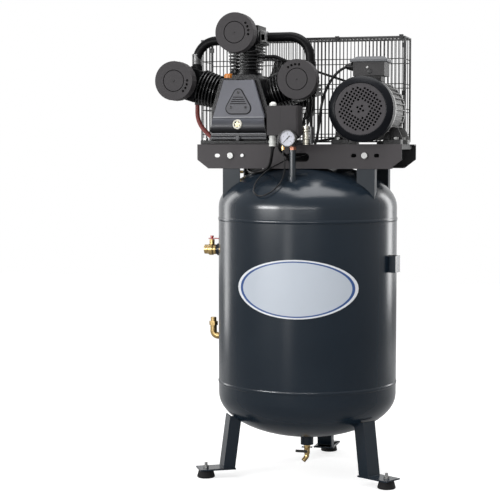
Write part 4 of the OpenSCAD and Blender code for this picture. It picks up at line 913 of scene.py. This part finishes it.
@dataclass
class Cabling:
    """The two cables and the unloader tube."""

    motor: Lead = Lead("motor_lead", "motor_cable", 4.5, 0.54, (
        (162, -60, 1366), (150, -60, 1366), (136, -60, 1362), (115, -61, 1348), (93, -63, 1322),
        (77, -66, 1292), (67, -70, 1260), (61, -75, 1225), (58, -80, 1190), (54, -84, 1155),
        (48, -88, 1122), (38, -96, 1094), (22, -112, 1076), (5, -130, 1069), (-10, -146, 1067),
        (-24, -168, 1071), (-35, -194, 1082), (-43, -230, 1106), (-43, -228, 1116),
        (-43, -228, 1136)))
    unloader: Lead = Lead("unloader_line", "unloader_tube", 2.25, 0.67, (
        (-28, -228, 1093), (-28, -229, 1080), (-24, -231, 1060), (-21, -238, 1030),
        (-26, -254, 998), (-44, -278, 968), (-66, -287, 953), (-92, -284, 947),
        (-112, -273, 955), (-118, -257, 972), (-111, -238, 996), (-93, -214, 1020),
        (-76, -192, 1036), (-54, -172, 1050), (-36, -158, 1061), (-27, -146, 1067),
        (-32, -128, 1066), (-60, -104, 1060), (-110, -78, 1048), (-160, -52, 1034),
        (-198, -28, 1024), (-220, -20, 1019.4)))
    supply: Lead = Lead("supply_lead", "supply_cable", 5.0, 0.353, (
        (-63, -228, 1148), (-63, -228, 1105), (-66, -223, 1086), (-73, -207, 1066),
        (-83, -184, 1049), (-93, -168, 1037), (-106, -157, 1029), (-122, -150, 1024),
        (-140, -141, 1021), (-158, -124, 1019), (-174, -104, 1022), (-186, -94, 1036),
        (-198, -102, 1048), (-212, -117, 1046), (-232, -126, 1042), (-250, -128, 1041)))

    def build(self) -> None:
        """Lay all three."""
        for lead in (self.motor, self.unloader, self.supply):
            lead.build()


# ---------------------------------------------------------------- sub-assemblies
@dataclass(frozen=True)
class Coat:
    """How one CAD node is rounded and finished."""

    node: str
    finish: Finish
    width: float = 0.8
    angle: float = CRISP_ANGLE
    body: str = ROOT


class Assembly:
    """A sub-assembly: the nodes that keep their shape, and the pieces modelled for it."""

    coats: tuple[Coat, ...] = ()

    def detail(self) -> None:
        """Model the sub-assembly's own pieces."""

    def build(self) -> None:
        """Dress the nodes and model the pieces."""
        for coat in self.coats:
            dressed(coat.node + "_skin", coat.finish, coat.node, width=coat.width,
                    angle=coat.angle, body=coat.body)
        self.detail()


@dataclass
class PressureTank(Assembly):
    """The shell and its heads, weld beads, sockets and oval plate."""

    radius: float = 300.0
    seams: tuple[float, ...] = (315.0, 863.5)
    bead_half: float = 6.2
    ripple: float = 0.009
    ripple_depth: float = 0.0016
    coats: tuple[Coat, ...] = (
        Coat("tank_shell", TANK_PAINT, 0, 20), Coat("tank_head_top", TANK_PAINT, 0, 20),
        Coat("tank_head_bottom", TANK_PAINT, 0, 20), Coat("tank_sockets", TANK_PAINT),
        Coat("side_bracket", TANK_PAINT, 0.6), Coat("label_plate", PLATE, 0))

    def weld_bead(self, number: int, height: float) -> None:
        """Run a lumpy bead round a seam.

        Args:
            number: Number of the seam, from the bottom.
            height: The seam's height in millimetres.
        """
        half, out = self.bead_half, self.radius
        bead = lathe(f"weld_bead_{number}", [
            (out + 0.2, -half), (out + 0.9, -half * 0.8), (out + 1.4, -half * 0.4),
            (out + 1.6, 0), (out + 1.4, half * 0.4), (out + 0.9, half * 0.8),
            (out + 0.2, half)], centre=(0, 0, height), steps=420)
        ripple = bpy.data.textures.new(bead.name, "CLOUDS")
        ripple.noise_scale = self.ripple
        modify(bead, "DISPLACE", texture=ripple, strength=self.ripple_depth, mid_level=0.6)
        settle(soften(bead, 0, 60), TANK_PAINT)

    def detail(self) -> None:
        """Model both beads."""
        for number, height in enumerate(self.seams, 1):
            self.weld_bead(number, height)


@dataclass
class Undercarriage(Assembly):
    """The three legs and their rubber feet."""

    coats: tuple[Coat, ...] = (
        Coat("leg_left", TANK_PAINT), Coat("leg_right", TANK_PAINT), Coat("leg_rear", TANK_PAINT),
        Coat("rubber_feet", RUBBER, 1.5))


@dataclass
class Saddle(Assembly):
    """The posts, rails, bearers and fasteners that carry the pump and the motor."""

    web_half: float = 340.0
    coats: tuple[Coat, ...] = (
        Coat("posts_front", POST_PAINT), Coat("posts_rear", POST_PAINT),
        # The rear rail and the bearers take the near-black painted shade.
        Coat("rail_rear", RAIL_PAINTED_SHADE, 1.0), Coat("motor_bearers", RAIL_PAINTED_SHADE),
        Coat("fasteners", ZINC, 0.5))

    def detail(self) -> None:
        """Dress the front rail, grey on its web and near black at its ends, a painted shade."""
        part_of("rail_front_web", RAIL_PAINT, "rail_front",
                lambda c: abs(c.x) < self.web_half, 1.0)
        # The front rail's ends take the near-black painted shade.
        part_of("rail_front_ends", RAIL_PAINTED_SHADE, "rail_front",
                lambda c: abs(c.x) >= self.web_half, 1.0)


@dataclass
class PumpBlock(Assembly):
    """The crankcase with its cover, three finned cylinders and three heads."""

    axis: Point = (-200.0, -150.0, 1257.0)
    sight: Point = (-200.0, -150.0, 1177.0)
    cap: Point = (-245.0, -110.0, 1331.0)
    fin_reach: float = 55.4
    badge_half: float = 46.0
    panel_low: float = 1197.0
    lip_top: float = 1150.0
    port_x: float = -141.0
    coats: tuple[Coat, ...] = (
        Coat("crankcase", PUMP_BLACK, 1.5),
        Coat("head_left", PUMP_BLACK, 1.0), Coat("head_right", PUMP_BLACK, 1.0),
        Coat("crankshaft", STEEL, 0.5, body="crank"))

    def dress_cylinders(self) -> None:
        """Finish each finned barrel, with the rims of its fins a little lighter, a painted
        highlight, and glossier.
        """
        for name, lean in CYLINDERS:
            way = Vector((math.sin(math.radians(lean)), 0.0, math.cos(math.radians(lean))))

            def rim(c: Vector) -> bool:
                return (c - Vector(CRANK)).cross(way).length > self.fin_reach

            node = "cylinder_" + name
            part_of(node + "_barrel", PUMP_BLACK, node, lambda c: not rim(c), 0.8)
            # The rims get a lighter colour as a painted highlight.
            part_of(node + "_rims_highlight", FIN_RIM_HIGHLIGHT, node, rim, 0.8)

    def dress_cover(self) -> None:
        """Finish the cover's panel, badge, glossy band and lower lip, and screw the badge on."""
        face = self.axis[1] - 0.3

        def badge(c: Vector) -> bool:
            return c.y <= face and abs(c.x - self.axis[0]) <= self.badge_half

        part_of("cover_panel", COVER_GREY, "front_cover",
                lambda c: c.z > self.panel_low and not badge(c), 1.5)
        # The black seam round the badge is a painted shadow.
        self.badge_shadow_seam()
        self.glossy_band()
        part_of("cover_badge", COVER_BADGE, "front_cover",
                lambda c: c.z > self.panel_low and badge(c), 0.8)
        part_of("cover_lip", COVER_LOW, "front_cover", lambda c: c.z <= self.lip_top, 1.5)
        for number, (dx, dz) in enumerate(((0, 25), (-25, -24), (25, -24))):
            turned(f"badge_screw_{number}", [
                (0, 1.8), (2.1, 1.8), (2.1, 2.4), (3.0, 2.4), (3.6, 1.9), (3.8, 0), (0, 0)],
                COVER_GLOSS, centre=(self.axis[0] + dx, self.axis[1] - 4, self.axis[2] + dz),
                steps=24, width=0.2)
        # Painted shade: a black seam round the cover's outline stands for the shade at its edge.
        seam = prism("cover_shadow_seam", [(self.axis[0] + x, self.axis[1] + 17.4, self.axis[2] + z)
                                    for x, z in self.outline(0.0)], (0, -4, 0))
        settle(soften(seam, 0.8), PAINTED_SHADE_BLACK)

    def badge_shadow_seam(self) -> None:
        """Lay the black seam round the badge, a painted shadow in the gap at its edge."""
        rim = []
        for dx, dz, radius, start, end in ((0, 26.5, 17.2, 155, 25), (24, -22, 20.2, 25, -88),
                                           (-24, -22, 20.2, -92, -205)):
            for step in range(9):
                turn = math.radians(start + (end - start) * step / 8)
                rim.append((self.axis[0] + dx + radius * math.cos(turn), self.axis[1] + 0.2,
                            self.axis[2] - 5 + dz + radius * math.sin(turn)))
        settle(soften(prism("badge_shadow_seam", rim, (0, -1.6, 0)), 0.4), BADGE_SHADOW_SEAM)

    def glossy_band(self) -> None:
        """Model the swelling band below the panel, whose finish fades to near black at its foot as
        a painted reflection, and the ledges above and below it, whose light grey is a painted
        highlight.
        """
        x, y, _ = self.axis
        swell = [(1, 1198), (-2.5, 1197), (-6, 1193.5), (-9, 1188.5), (-11, 1182), (-11.9, 1175),
                 (-12, 1169), (-11.4, 1163), (-9.6, 1157), (-6.6, 1152.5), (-3, 1149.8), (1, 1149)]
        band = prism("cover_band_painted_reflection", [(x - 100, y + dy, z) for dy, z in swell], (200, 0, 0))
        frame_cut = prism("cutter", [(x + dx, y + 20, self.axis[2] + dz)
                                     for dx, dz in self.outline(-0.4)], (0, -60, 0))
        modify(band, "BOOLEAN", operation="INTERSECT", solver="EXACT", object=frame_cut)
        bpy.data.objects.remove(frame_cut)
        window = lathe("cutter", [(0, -4), (16.1, -4), (16.1, 30), (0, 30)], self.sight, FRONT, 48)
        # Painted reflection: the band's finish fades to near black towards its lower edge.
        settle(soften(carve(band, window), 0.6, 40), COVER_BAND_PAINTED_REFLECTION, "front_cover")
        # Painted highlight: the ledges' light grey stands for the light line along them.
        ledge = block("cover_ledge", (x - 87.5, y - 2.6, 1199.2), (x + 87.5, y + 0.5, 1202.4))
        settle(soften(ledge, 0.8), COVER_EDGE_HIGHLIGHT)
        lip = block("cover_lower_edge", (x - 93.5, y - 3.2, 1146.2), (x + 93.5, y + 0.5, 1148.6))
        settle(soften(lip, 0.8), COVER_EDGE_HIGHLIGHT)

    @staticmethod
    def outline(grow: float) -> list[tuple[float, float]]:
        """Return the cover's outline about the crank axis, grown by some millimetres."""
        half = [(50.5 + grow, 66 + grow), (88 + grow, -57.0), (97 + grow, -129.0)]
        return half + [(-x, z) for x, z in reversed(half)]

    def sight_window(self) -> None:
        """Model the oil window: a pale ring about a brass star."""
        turned("sight_ring", [
            (10.2, 12.8), (10.2, 16.6), (11.2, 17.2), (14.2, 17.2), (15.8, 15.6), (15.9, 0),
            (10.2, 0), (10.2, 12.8)], SIGHT_WHITE, "sight_glass", centre=self.sight)
        turned("sight_floor", [(0, 0), (10.4, 0), (10.4, 11), (0, 11)], GAUGE_BLACK,
               centre=self.sight, steps=48)
        x, y, z = self.sight
        petal = prism("sight_star", [(x - 2.2, y - 11, z + 1), (x + 2.2, y - 11, z + 1),
                                     (x + 3.3, y - 11, z + 8), (x, y - 11, z + 9.6),
                                     (x - 3.3, y - 11, z + 8)], (0, -2.2, 0))
        star = around(petal, "sight_star", [72 * turn for turn in range(5)], self.sight, (0, 1, 0))
        settle(soften(star, 0.4), SIGHT_BRASS)

    def filler_cap(self) -> None:
        """Model the ribbed filler cap on its stem."""
        x, y, z = self.cap
        rim = [(x + r * math.cos(a), y + r * math.sin(a), z)
               for a, r in ((math.tau * i / 48, 14.9 if i % 4 < 2 else 13.9) for i in range(48))]
        grip = soften(prism("cap_grip", rim, (0, 0, 11)), 0.3)
        crown = lathe("cap_crown", [(0, 11), (13.5, 11), (13.1, 13.6), (11.2, 14.9), (0, 14.9)],
                      centre=self.cap)
        settle(join("cap_grip", [grip, soften(crown, 0.4)]), ORANGE, body="oil_filler_cap")
        part_of("cap_stem", ORANGE, "oil_cap", lambda c: c.z < z + 0.5, body="oil_filler_cap")

    def centre_head(self) -> None:
        """Finish the centre head and its pale port with a square recess, whose floor is a black
        plate of painted shade.
        """
        body = part_of("centre_head_body", PUMP_BLACK, "head_centre",
                       lambda c: c.x < self.port_x, 1.0)
        gaps = [block("cutter", (side - 9, -112, low), (side + 9, 12, low + 6.4))
                for side in (-254, -146) for low in (1424, 1434, 1444)]
        carve(body, join("cutter", gaps))
        part_of("centre_head_collar", PORT_GREY, "head_centre",
                lambda c: c.x >= self.port_x, 1.0)
        housing = prism("port_housing", [(-147, -73, 1451), (-128, -73, 1451), (-128, -73, 1486),
                                         (-147, -73, 1492)], (0, 24, 0))
        recess = block("cutter", (-144, -80, 1457), (-131, -66, 1477))
        settle(carve(soften(housing, 1.4), recess), PORT_GREY)
        # Painted shade: a black plate lies on the floor of the port's recess.
        settle(block("port_shade", (-144.4, -66.6, 1456.6), (-130.6, -65.8, 1477.4)), PAINTED_SHADE_BLACK)

    def detail(self) -> None:
        """Model the pump's own pieces."""
        self.dress_cylinders()
        self.dress_cover()
        self.sight_window()
        self.filler_cap()
        self.centre_head()


@dataclass
class AirFilters(Assembly):
    """The three round intake filters."""

    ring_radius: float = 218.0
    front: float = -198.0
    coats: tuple[Coat, ...] = (
        Coat("filter_left", FILTER_GREY, 1.0), Coat("filter_centre", FILTER_GREY, 1.0),
        Coat("filter_right", FILTER_GREY, 1.0))

    def detail(self) -> None:
        """Put a small screw on each lid, and a fine black ring of painted shade that stands for a
        groove.
        """
        for name, lean in CYLINDERS:
            turn = math.radians(lean)
            place = (CRANK[0] + self.ring_radius * math.sin(turn), self.front,
                     CRANK[2] + self.ring_radius * math.cos(turn))
            turned(f"filter_screw_{name}", [
                (0, 0.9), (1.2, 0.9), (1.2, 1.6), (2.4, 1.4), (3.1, 0.8), (3.3, -0.5), (0, -0.5)],
                BOX_GREY, centre=place, steps=24, width=0)
            # Painted shade: the fine black ring stands for a groove in each lid.
            turned(f"filter_groove_{name}", [
                (34.1, -1.2), (34.1, -0.9), (35.9, -0.9), (35.9, -1.2), (34.1, -1.2)],
                PAINTED_SHADE_BLACK, centre=place, steps=72, width=0)


@dataclass
class Pipework(Assembly):
    """The crossover pipes, the breather and the delivery pipe."""

    coats: tuple[Coat, ...] = (
        Coat("air_pipe_left", BLACK_PIPE, 0), Coat("air_pipe_right", BLACK_PIPE, 0),
        Coat("delivery_pipe", COPPER, 0))

    def detail(self) -> None:
        """Model the grey sleeve on the left pipe."""
        turned("pipe_sleeve", [
            (15.4, 0), (16.1, 0), (16.3, 0.6), (16.3, 9), (15.9, 10), (15.9, 12), (16.3, 13),
            (16.3, 34), (15.4, 35), (15.4, 0)], SLEEVE, centre=(-376, -45, 1382), axis=UP,
            width=0.2)


@dataclass
class BeltDrive(Assembly):
    """The flywheel, the motor pulley and the belts."""

    coats: tuple[Coat, ...] = (
        Coat("flywheel", PUMP_BLACK, 1.0, body="crank"),
        Coat("motor_pulley", PUMP_BLACK, 0.6, body="motor_shaft"),
        Coat("drive_belts", RUBBER, 0.5))


@dataclass
class DriveMotor(Assembly):
    """The motor with its shields, feet, fan cover and terminal box."""

    middle: tuple[float, float] = (215.0, 1224.0)
    shield_front: float = -136.0
    cowl_radius: float = 106.0
    cowl_length: float = 53.4
    grille_radius: float = 83.0
    hole: float = 6.7
    pitch: float = 10.6
    lattice_turn: float = -31.0
    hole_reach: float = 69.8
    blank: tuple[float, float] = (12.0, 25.5)
    lid_bottom: float = 1379.5
    gland: Point = (170.0, -60.0, 1366.0)
    coats: tuple[Coat, ...] = (Coat("motor_rotor", STEEL, 0.5, body="motor_shaft"),)

    def spot(self, out: float) -> Point:
        """Return the place on the motor's axis that lies some way in front of the shield."""
        return (self.middle[0], self.shield_front - out, self.middle[1])

    def dress_body(self) -> None:
        """Finish the aluminium body and its black front feet."""

        def front_foot(c: Vector) -> bool:
            return c.z < 1172 and abs(c.x - self.middle[0]) > 56 and -95 < c.y < -45

        shield = self.shield_front + 16.5
        part_of("motor_casting", CAST_ALU, "motor_body",
                lambda c: not front_foot(c) and c.y > shield, 0.8)
        part_of("motor_shield", SHIELD_ALU, "motor_body",
                lambda c: not front_foot(c) and c.y <= shield, 0.8)
        part_of("motor_front_feet", BLACK_PLASTIC, "motor_body", front_foot, 0.8)

    def fan_cowl(self) -> None:
        """Model the fan cover: a rounded shell, a grille plate of square holes and a black disc
        behind it, painted shade that darkens the holes.
        """
        out, deep, rim = self.cowl_radius, self.cowl_length, self.grille_radius
        turned("cowl_shell", [
            (out, 0.3), (out, deep - 15), (out - 0.6, deep - 12), (out - 3, deep - 9),
            (out - 10, deep - 4.6), (rim + 4, deep - 0.8), (rim + 2, deep),
            (rim + 0.6, deep - 0.4), (rim + 0.3, deep - 3.5), (out - 9, deep - 9),
            (out - 3, deep - 16), (out - 3, 0.3), (out, 0.3)], COWL, "fan_cover",
            centre=self.spot(0), steps=128, width=0.4, angle=20)
        plate = lathe("cowl_grille", [(0, 0), (rim, 0), (rim, 1.6), (rim - 0.6, 2.2), (0, 2.2)],
                      self.spot(deep - 3.8), FRONT, 96)
        settle(soften(carve(plate, self.lattice()), 0, 30), GRILLE)
        # Painted shade: a black disc behind the grille darkens its holes.
        turned("cowl_shade", [(0, 0), (rim + 2, 0), (rim + 2, 1), (0, 1)], PAINTED_SHADE_BLACK,
               centre=self.spot(deep - 6.5), steps=48, width=0.2)

    def lattice(self) -> Piece:
        """Return the square holes as one cutter."""
        x, y, z = self.spot(self.cowl_length - 8)
        half = self.hole / 2
        turn = Matrix.Rotation(math.radians(self.lattice_turn), 2)
        corners = [turn @ Vector(c) for c in ((-half, -half), (half, -half), (half, half),
                                              (-half, half))]
        first = prism("hole", [(x + c.x, y, z + c.y) for c in corners], (0, -12, 0))
        reach = int(self.hole_reach / self.pitch) + 1
        holes = []
        for across in range(-reach, reach + 1):
            for up in range(-reach, reach + 1):
                place = turn @ Vector((across * self.pitch, up * self.pitch))
                far = place.length
                if far < self.hole_reach and not self.blank[0] < far < self.blank[1]:
                    move = Matrix.Translation(Vector((place.x, 0, place.y)) * MM)
                    holes.append(duplicate(first, "hole", move))
        bpy.data.objects.remove(first)
        return join("holes", holes)

    def connection_box(self) -> None:
        """Finish the terminal box and its lid, and model its screw and ribbed gland."""
        side = self.gland[0] - 0.5
        part_of("box_body", BOX_GREY, "terminal_box",
                lambda c: c.z < self.lid_bottom and c.x > side, 1.2)
        part_of("box_lid", LID_GREY, "terminal_box", lambda c: c.z >= self.lid_bottom, 1.2)
        part_of("box_gland", BLACK_PLASTIC, "terminal_box",
                lambda c: c.z < self.lid_bottom and c.x <= side, 0.8)
        rib = block("gland_ribs", (self.gland[0] - 9, self.gland[1] - 1.4, self.gland[2] + 11),
                    (self.gland[0] - 1, self.gland[1] + 1.4, self.gland[2] + 14.5))
        ribs = around(soften(rib, 0.5), "gland_ribs", range(0, 360, 24), self.gland, (1, 0, 0))
        settle(ribs, BLACK_PLASTIC)
        turned("gland_relief", [(4.9, 0), (10.5, 0), (10, 3), (6.2, 12), (4.9, 12), (4.9, 0)],
               BLACK_PLASTIC, centre=(self.gland[0] - 18, self.gland[1], self.gland[2]),
               axis=(-1, 0, 0), steps=32)
        turned("box_screw_front", [
            (0, 1.2), (1.8, 1.2), (1.8, 2.6), (3.6, 2.4), (4.2, 1.6), (4.3, 0), (0, 0)], ZINC,
            centre=(218.0, -86.0, 1362.0), steps=24, width=0.2)
        turned("box_knockout", [(0, 0), (8, 0), (8, 1.0), (6.6, 1.6), (0, 1.6)], BLACK_PLASTIC,
               centre=(226.0, -86.0, 1349.0), steps=32)

    def detail(self) -> None:
        """Model the motor's own pieces."""
        self.dress_body()
        self.fan_cowl()
        self.connection_box()


@dataclass
class MeshGuard(Assembly):
    """The wire guard about the belts, with the clips that hold its panels."""

    clips: tuple[Point, ...] = (
        (-382, 152, 1442), (67, 152, 1475), (289, 152, 1477), (299, 152, 1449), (299, 152, 1287))
    coats: tuple[Coat, ...] = tuple(
        Coat("guard_" + side, WIRE_BLACK, 0, 60) for side in
        ("front", "rear", "left", "right", "top"))

    def detail(self) -> None:
        """Model a slotted clip at each place."""
        for number, (x, y, z) in enumerate(self.clips):
            strap = block(f"guard_clip_{number}", (x - 7, y - 4.5, z - 8), (x + 7, y + 4.5, z + 8))
            carve(strap, block("cutter", (x - 3, y - 6, z + 3), (x + 3, y - 2, z + 9)))
            settle(soften(strap, 1.0), BLACK_PLASTIC)


@dataclass
class ControlGroup(Assembly):
    """The riser, pressure switch, gauge and safety valve."""

    gauge: Point = (-1.0, -281.0, 1130.0)
    dial_radius: float = 24.9
    needle_start: float = -135.0
    dial_sweep: float = 270.0
    number_ring: float = 13.8
    white_gland: Point = (-63.0, -228.0, 1105.0)
    black_gland: Point = (-43.0, -228.0, 1112.0)
    valve: tuple[float, float] = (47.0, -228.0)
    housing_low: float = 1139.9
    riser_top: float = 1092.9
    nut_top: float = 1104.01
    check_valve_x: float = -150.0
    groove_heights: tuple[float, ...] = (1113.4, 1126.2, 1150.6, 1159.2)
    coats: tuple[Coat, ...] = (
        Coat("switch_knob", WHITE_PLASTIC, 0.6, body="on_off_knob"),
        Coat("gauge_body", GAUGE_BLACK, 0.5), Coat("gauge_needle", NEEDLE_BLACK, 0, body="needle"),
        Coat("safety_valve", NICKEL, 0.4), Coat("safety_ring", STEEL, 0, body="relief_ring"))

    def dress_switch(self) -> None:
        """Finish the switch's housing and glands and add the ribs of the white gland."""
        part_of("switch_housing", SWITCH_PLASTIC, "switch_body",
                lambda c: c.z > self.housing_low, 1.2)
        part_of("switch_black_gland", BLACK_PLASTIC, "switch_body",
                lambda c: c.z <= self.housing_low and -52 < c.x < -34, 0.5)
        part_of("switch_unloader", BRASS, "switch_body",
                lambda c: c.z <= self.housing_low and c.x >= -34, 0.5)
        x, y, z = self.white_gland
        turned("white_gland_skin", [
            (5.4, 0), (11.4, 0), (12, 0.8), (12, 6), (11, 6.6), (11, 8.4), (12, 9), (12, 20),
            (11.2, 20.8), (10.4, 21.4), (10.4, 23.6), (11.2, 24.4), (11.2, 34.9), (5.4, 34.9),
            (5.4, 0)], WHITE_PLASTIC, "switch_body", centre=(x, y, z), axis=UP)
        rib = block("white_gland_ribs", (x - 1.1, y - 12.7, z + 10), (x + 1.1, y - 11.6, z + 19))
        settle(around(soften(rib, 0.3), "white_gland_ribs", range(0, 360, 20), (x, y, z),
                      UP), WHITE_PLASTIC)
        for name, place, inner, outer in (("white", self.white_gland, 5.3, 8.6),
                                          ("black", self.black_gland, 4.8, 7.2)):
            turned(f"{name}_gland_relief", [
                (inner, 0), (outer, 0), (outer - 0.4, 2), (inner + 1, 9), (inner, 9), (inner, 0)],
                BLACK_PLASTIC, centre=place, axis=(0, 0, -1), steps=32)

    def dress_manifold(self) -> None:
        """Finish the riser, its copper nut, the manifold and the check valve."""

        def brass(c: Vector) -> bool:
            return c.x < self.check_valve_x

        def tee(c: Vector) -> bool:
            return 36 < c.x < 57.6 and c.z < 1126.2 and abs(c.y + 228) < 10.6

        part_of("riser_tube", RISER_PAINT, "manifold",
                lambda c: not brass(c) and c.z < self.riser_top)
        part_of("riser_nut", NUT_COPPER, "manifold",
                lambda c: not brass(c) and self.riser_top <= c.z < self.nut_top)
        part_of("valve_tee", NICKEL, "manifold", tee, 0.3)
        part_of("manifold_block", DARK_FITTING, "manifold",
                lambda c: not brass(c) and c.z >= self.nut_top and not tee(c))
        part_of("check_valve", BRASS, "manifold", brass)

    def dial(self) -> None:
        """Model the dial with its scale, numbers and glass rim."""
        edge = self.dial_radius
        face = lathe("dial_face", [(0, 0), (edge, 0), (edge, 0.4), (0, 0.4)], self.gauge, FRONT)
        hole = lathe("cutter", [(0, -2), (2.3, -2), (2.3, 3), (0, 3)], self.gauge, FRONT, 24)
        settle(soften(carve(face, hole), 0), DIAL_WHITE)
        x, y, z = self.gauge
        y -= 0.35
        short = block("dial_scale", (x - 0.16, y - 0.15, z + 20.4), (x + 0.16, y, z + 22.6))
        long = block("dial_marks", (x - 0.28, y - 0.15, z + 18.4), (x + 0.28, y, z + 22.6))
        arc = lathe("dial_arc", [(22.6, 0.35), (23.0, 0.35), (23.0, 0.5), (22.6, 0.5),
                                 (22.6, 0.35)], self.gauge, FRONT, 72)
        start, sweep = self.needle_start, self.dial_sweep
        marks = [around(short, "dial_scale", [start + sweep * i / 32 for i in range(33)],
                        self.gauge, (0, 1, 0)),
                 around(long, "dial_marks", [start + sweep * i / 8 for i in range(9)],
                        self.gauge, (0, 1, 0)), arc]
        for number in range(5):
            turn = math.radians(start + sweep * number / 4)
            marks.append(self.digit(str(4 * number), x + self.number_ring * math.sin(turn), y,
                                    z + self.number_ring * math.cos(turn)))
        settle(join("dial_print", marks), NEEDLE_BLACK)
        turned("gauge_rim", [
            (25.0, 5.4), (25.0, 6.6), (25.9, 7.3), (27.3, 7.3), (28.0, 6.6), (28.0, 4),
            (27.4, 4), (27.4, 5.4), (25.0, 5.4)], GAUGE_BLACK, centre=self.gauge, width=0.2)

    @staticmethod
    def digit(text: str, x: float, y: float, z: float) -> Piece:
        """Print a number on the dial.

        Args:
            text: The number.
            x: Its middle across, in millimetres.
            y: The dial's front face.
            z: Its middle height.

        Returns:
            The number as a mesh.
        """
        clear_bench()
        bpy.ops.object.text_add()
        piece = bpy.context.object
        piece.data.body, piece.data.size = text, 0.0056
        piece.data.align_x, piece.data.align_y = "CENTER", "CENTER"
        piece.data.extrude = 0.00005
        bpy.ops.object.convert(target="MESH")
        piece = bpy.context.object
        piece.data.transform(Matrix.Translation(Vector((x, y - 0.05, z)) * MM)
                             @ Matrix.Rotation(math.pi / 2, 4, "X"))
        return piece

    def valve_rings(self) -> None:
        """Lay the dark grooves round the safety valve."""
        for number, height in enumerate(self.groove_heights):
            turned(f"valve_groove_{number}", [
                (9.4, 0), (10.8, 0), (10.8, 1.7), (9.4, 1.7), (9.4, 0)], DARK_FITTING,
                centre=(*self.valve, height), axis=UP)

    def detail(self) -> None:
        """Model the group's own pieces."""
        self.valve_rings()
        self.dress_switch()
        self.dress_manifold()
        self.dial()


@dataclass
class TankValves(Assembly):
    """The outlet valve, the elbow and the drain valve."""

    collar_x: float = -321.0
    coats: tuple[Coat, ...] = (
        Coat("outlet_lever", RED_PAINT, 0.4, body="outlet_handle"),
        Coat("elbow_fitting", BRASS, 0.4), Coat("drain_valve", BRASS, 0.4),
        Coat("drain_lever", DRAIN_BLACK, 0.4, body="drain_handle"))

    def detail(self) -> None:
        """Finish the outlet valve with a dark collar at the tank."""
        part_of("outlet_collar", DARK_FITTING, "outlet_valve",
                lambda c: c.x > self.collar_x, 0.5)
        part_of("outlet_barrel", BRASS, "outlet_valve",
                lambda c: c.x <= self.collar_x, 0.5)


def main() -> None:
    """Build the scene, piece by piece."""
    logging.basicConfig(level=logging.INFO, format="%(name)s: %(message)s")
    Studio().build()
    Cabling().build()
    for assembly in (PressureTank(), Undercarriage(), Saddle(), PumpBlock(), AirFilters(),
                     Pipework(), BeltDrive(), DriveMotor(), MeshGuard(), ControlGroup(),
                     TankValves()):
        LOG.info("building %s", type(assembly).__name__)
        assembly.build()


if __name__ == "__main__":
    main()
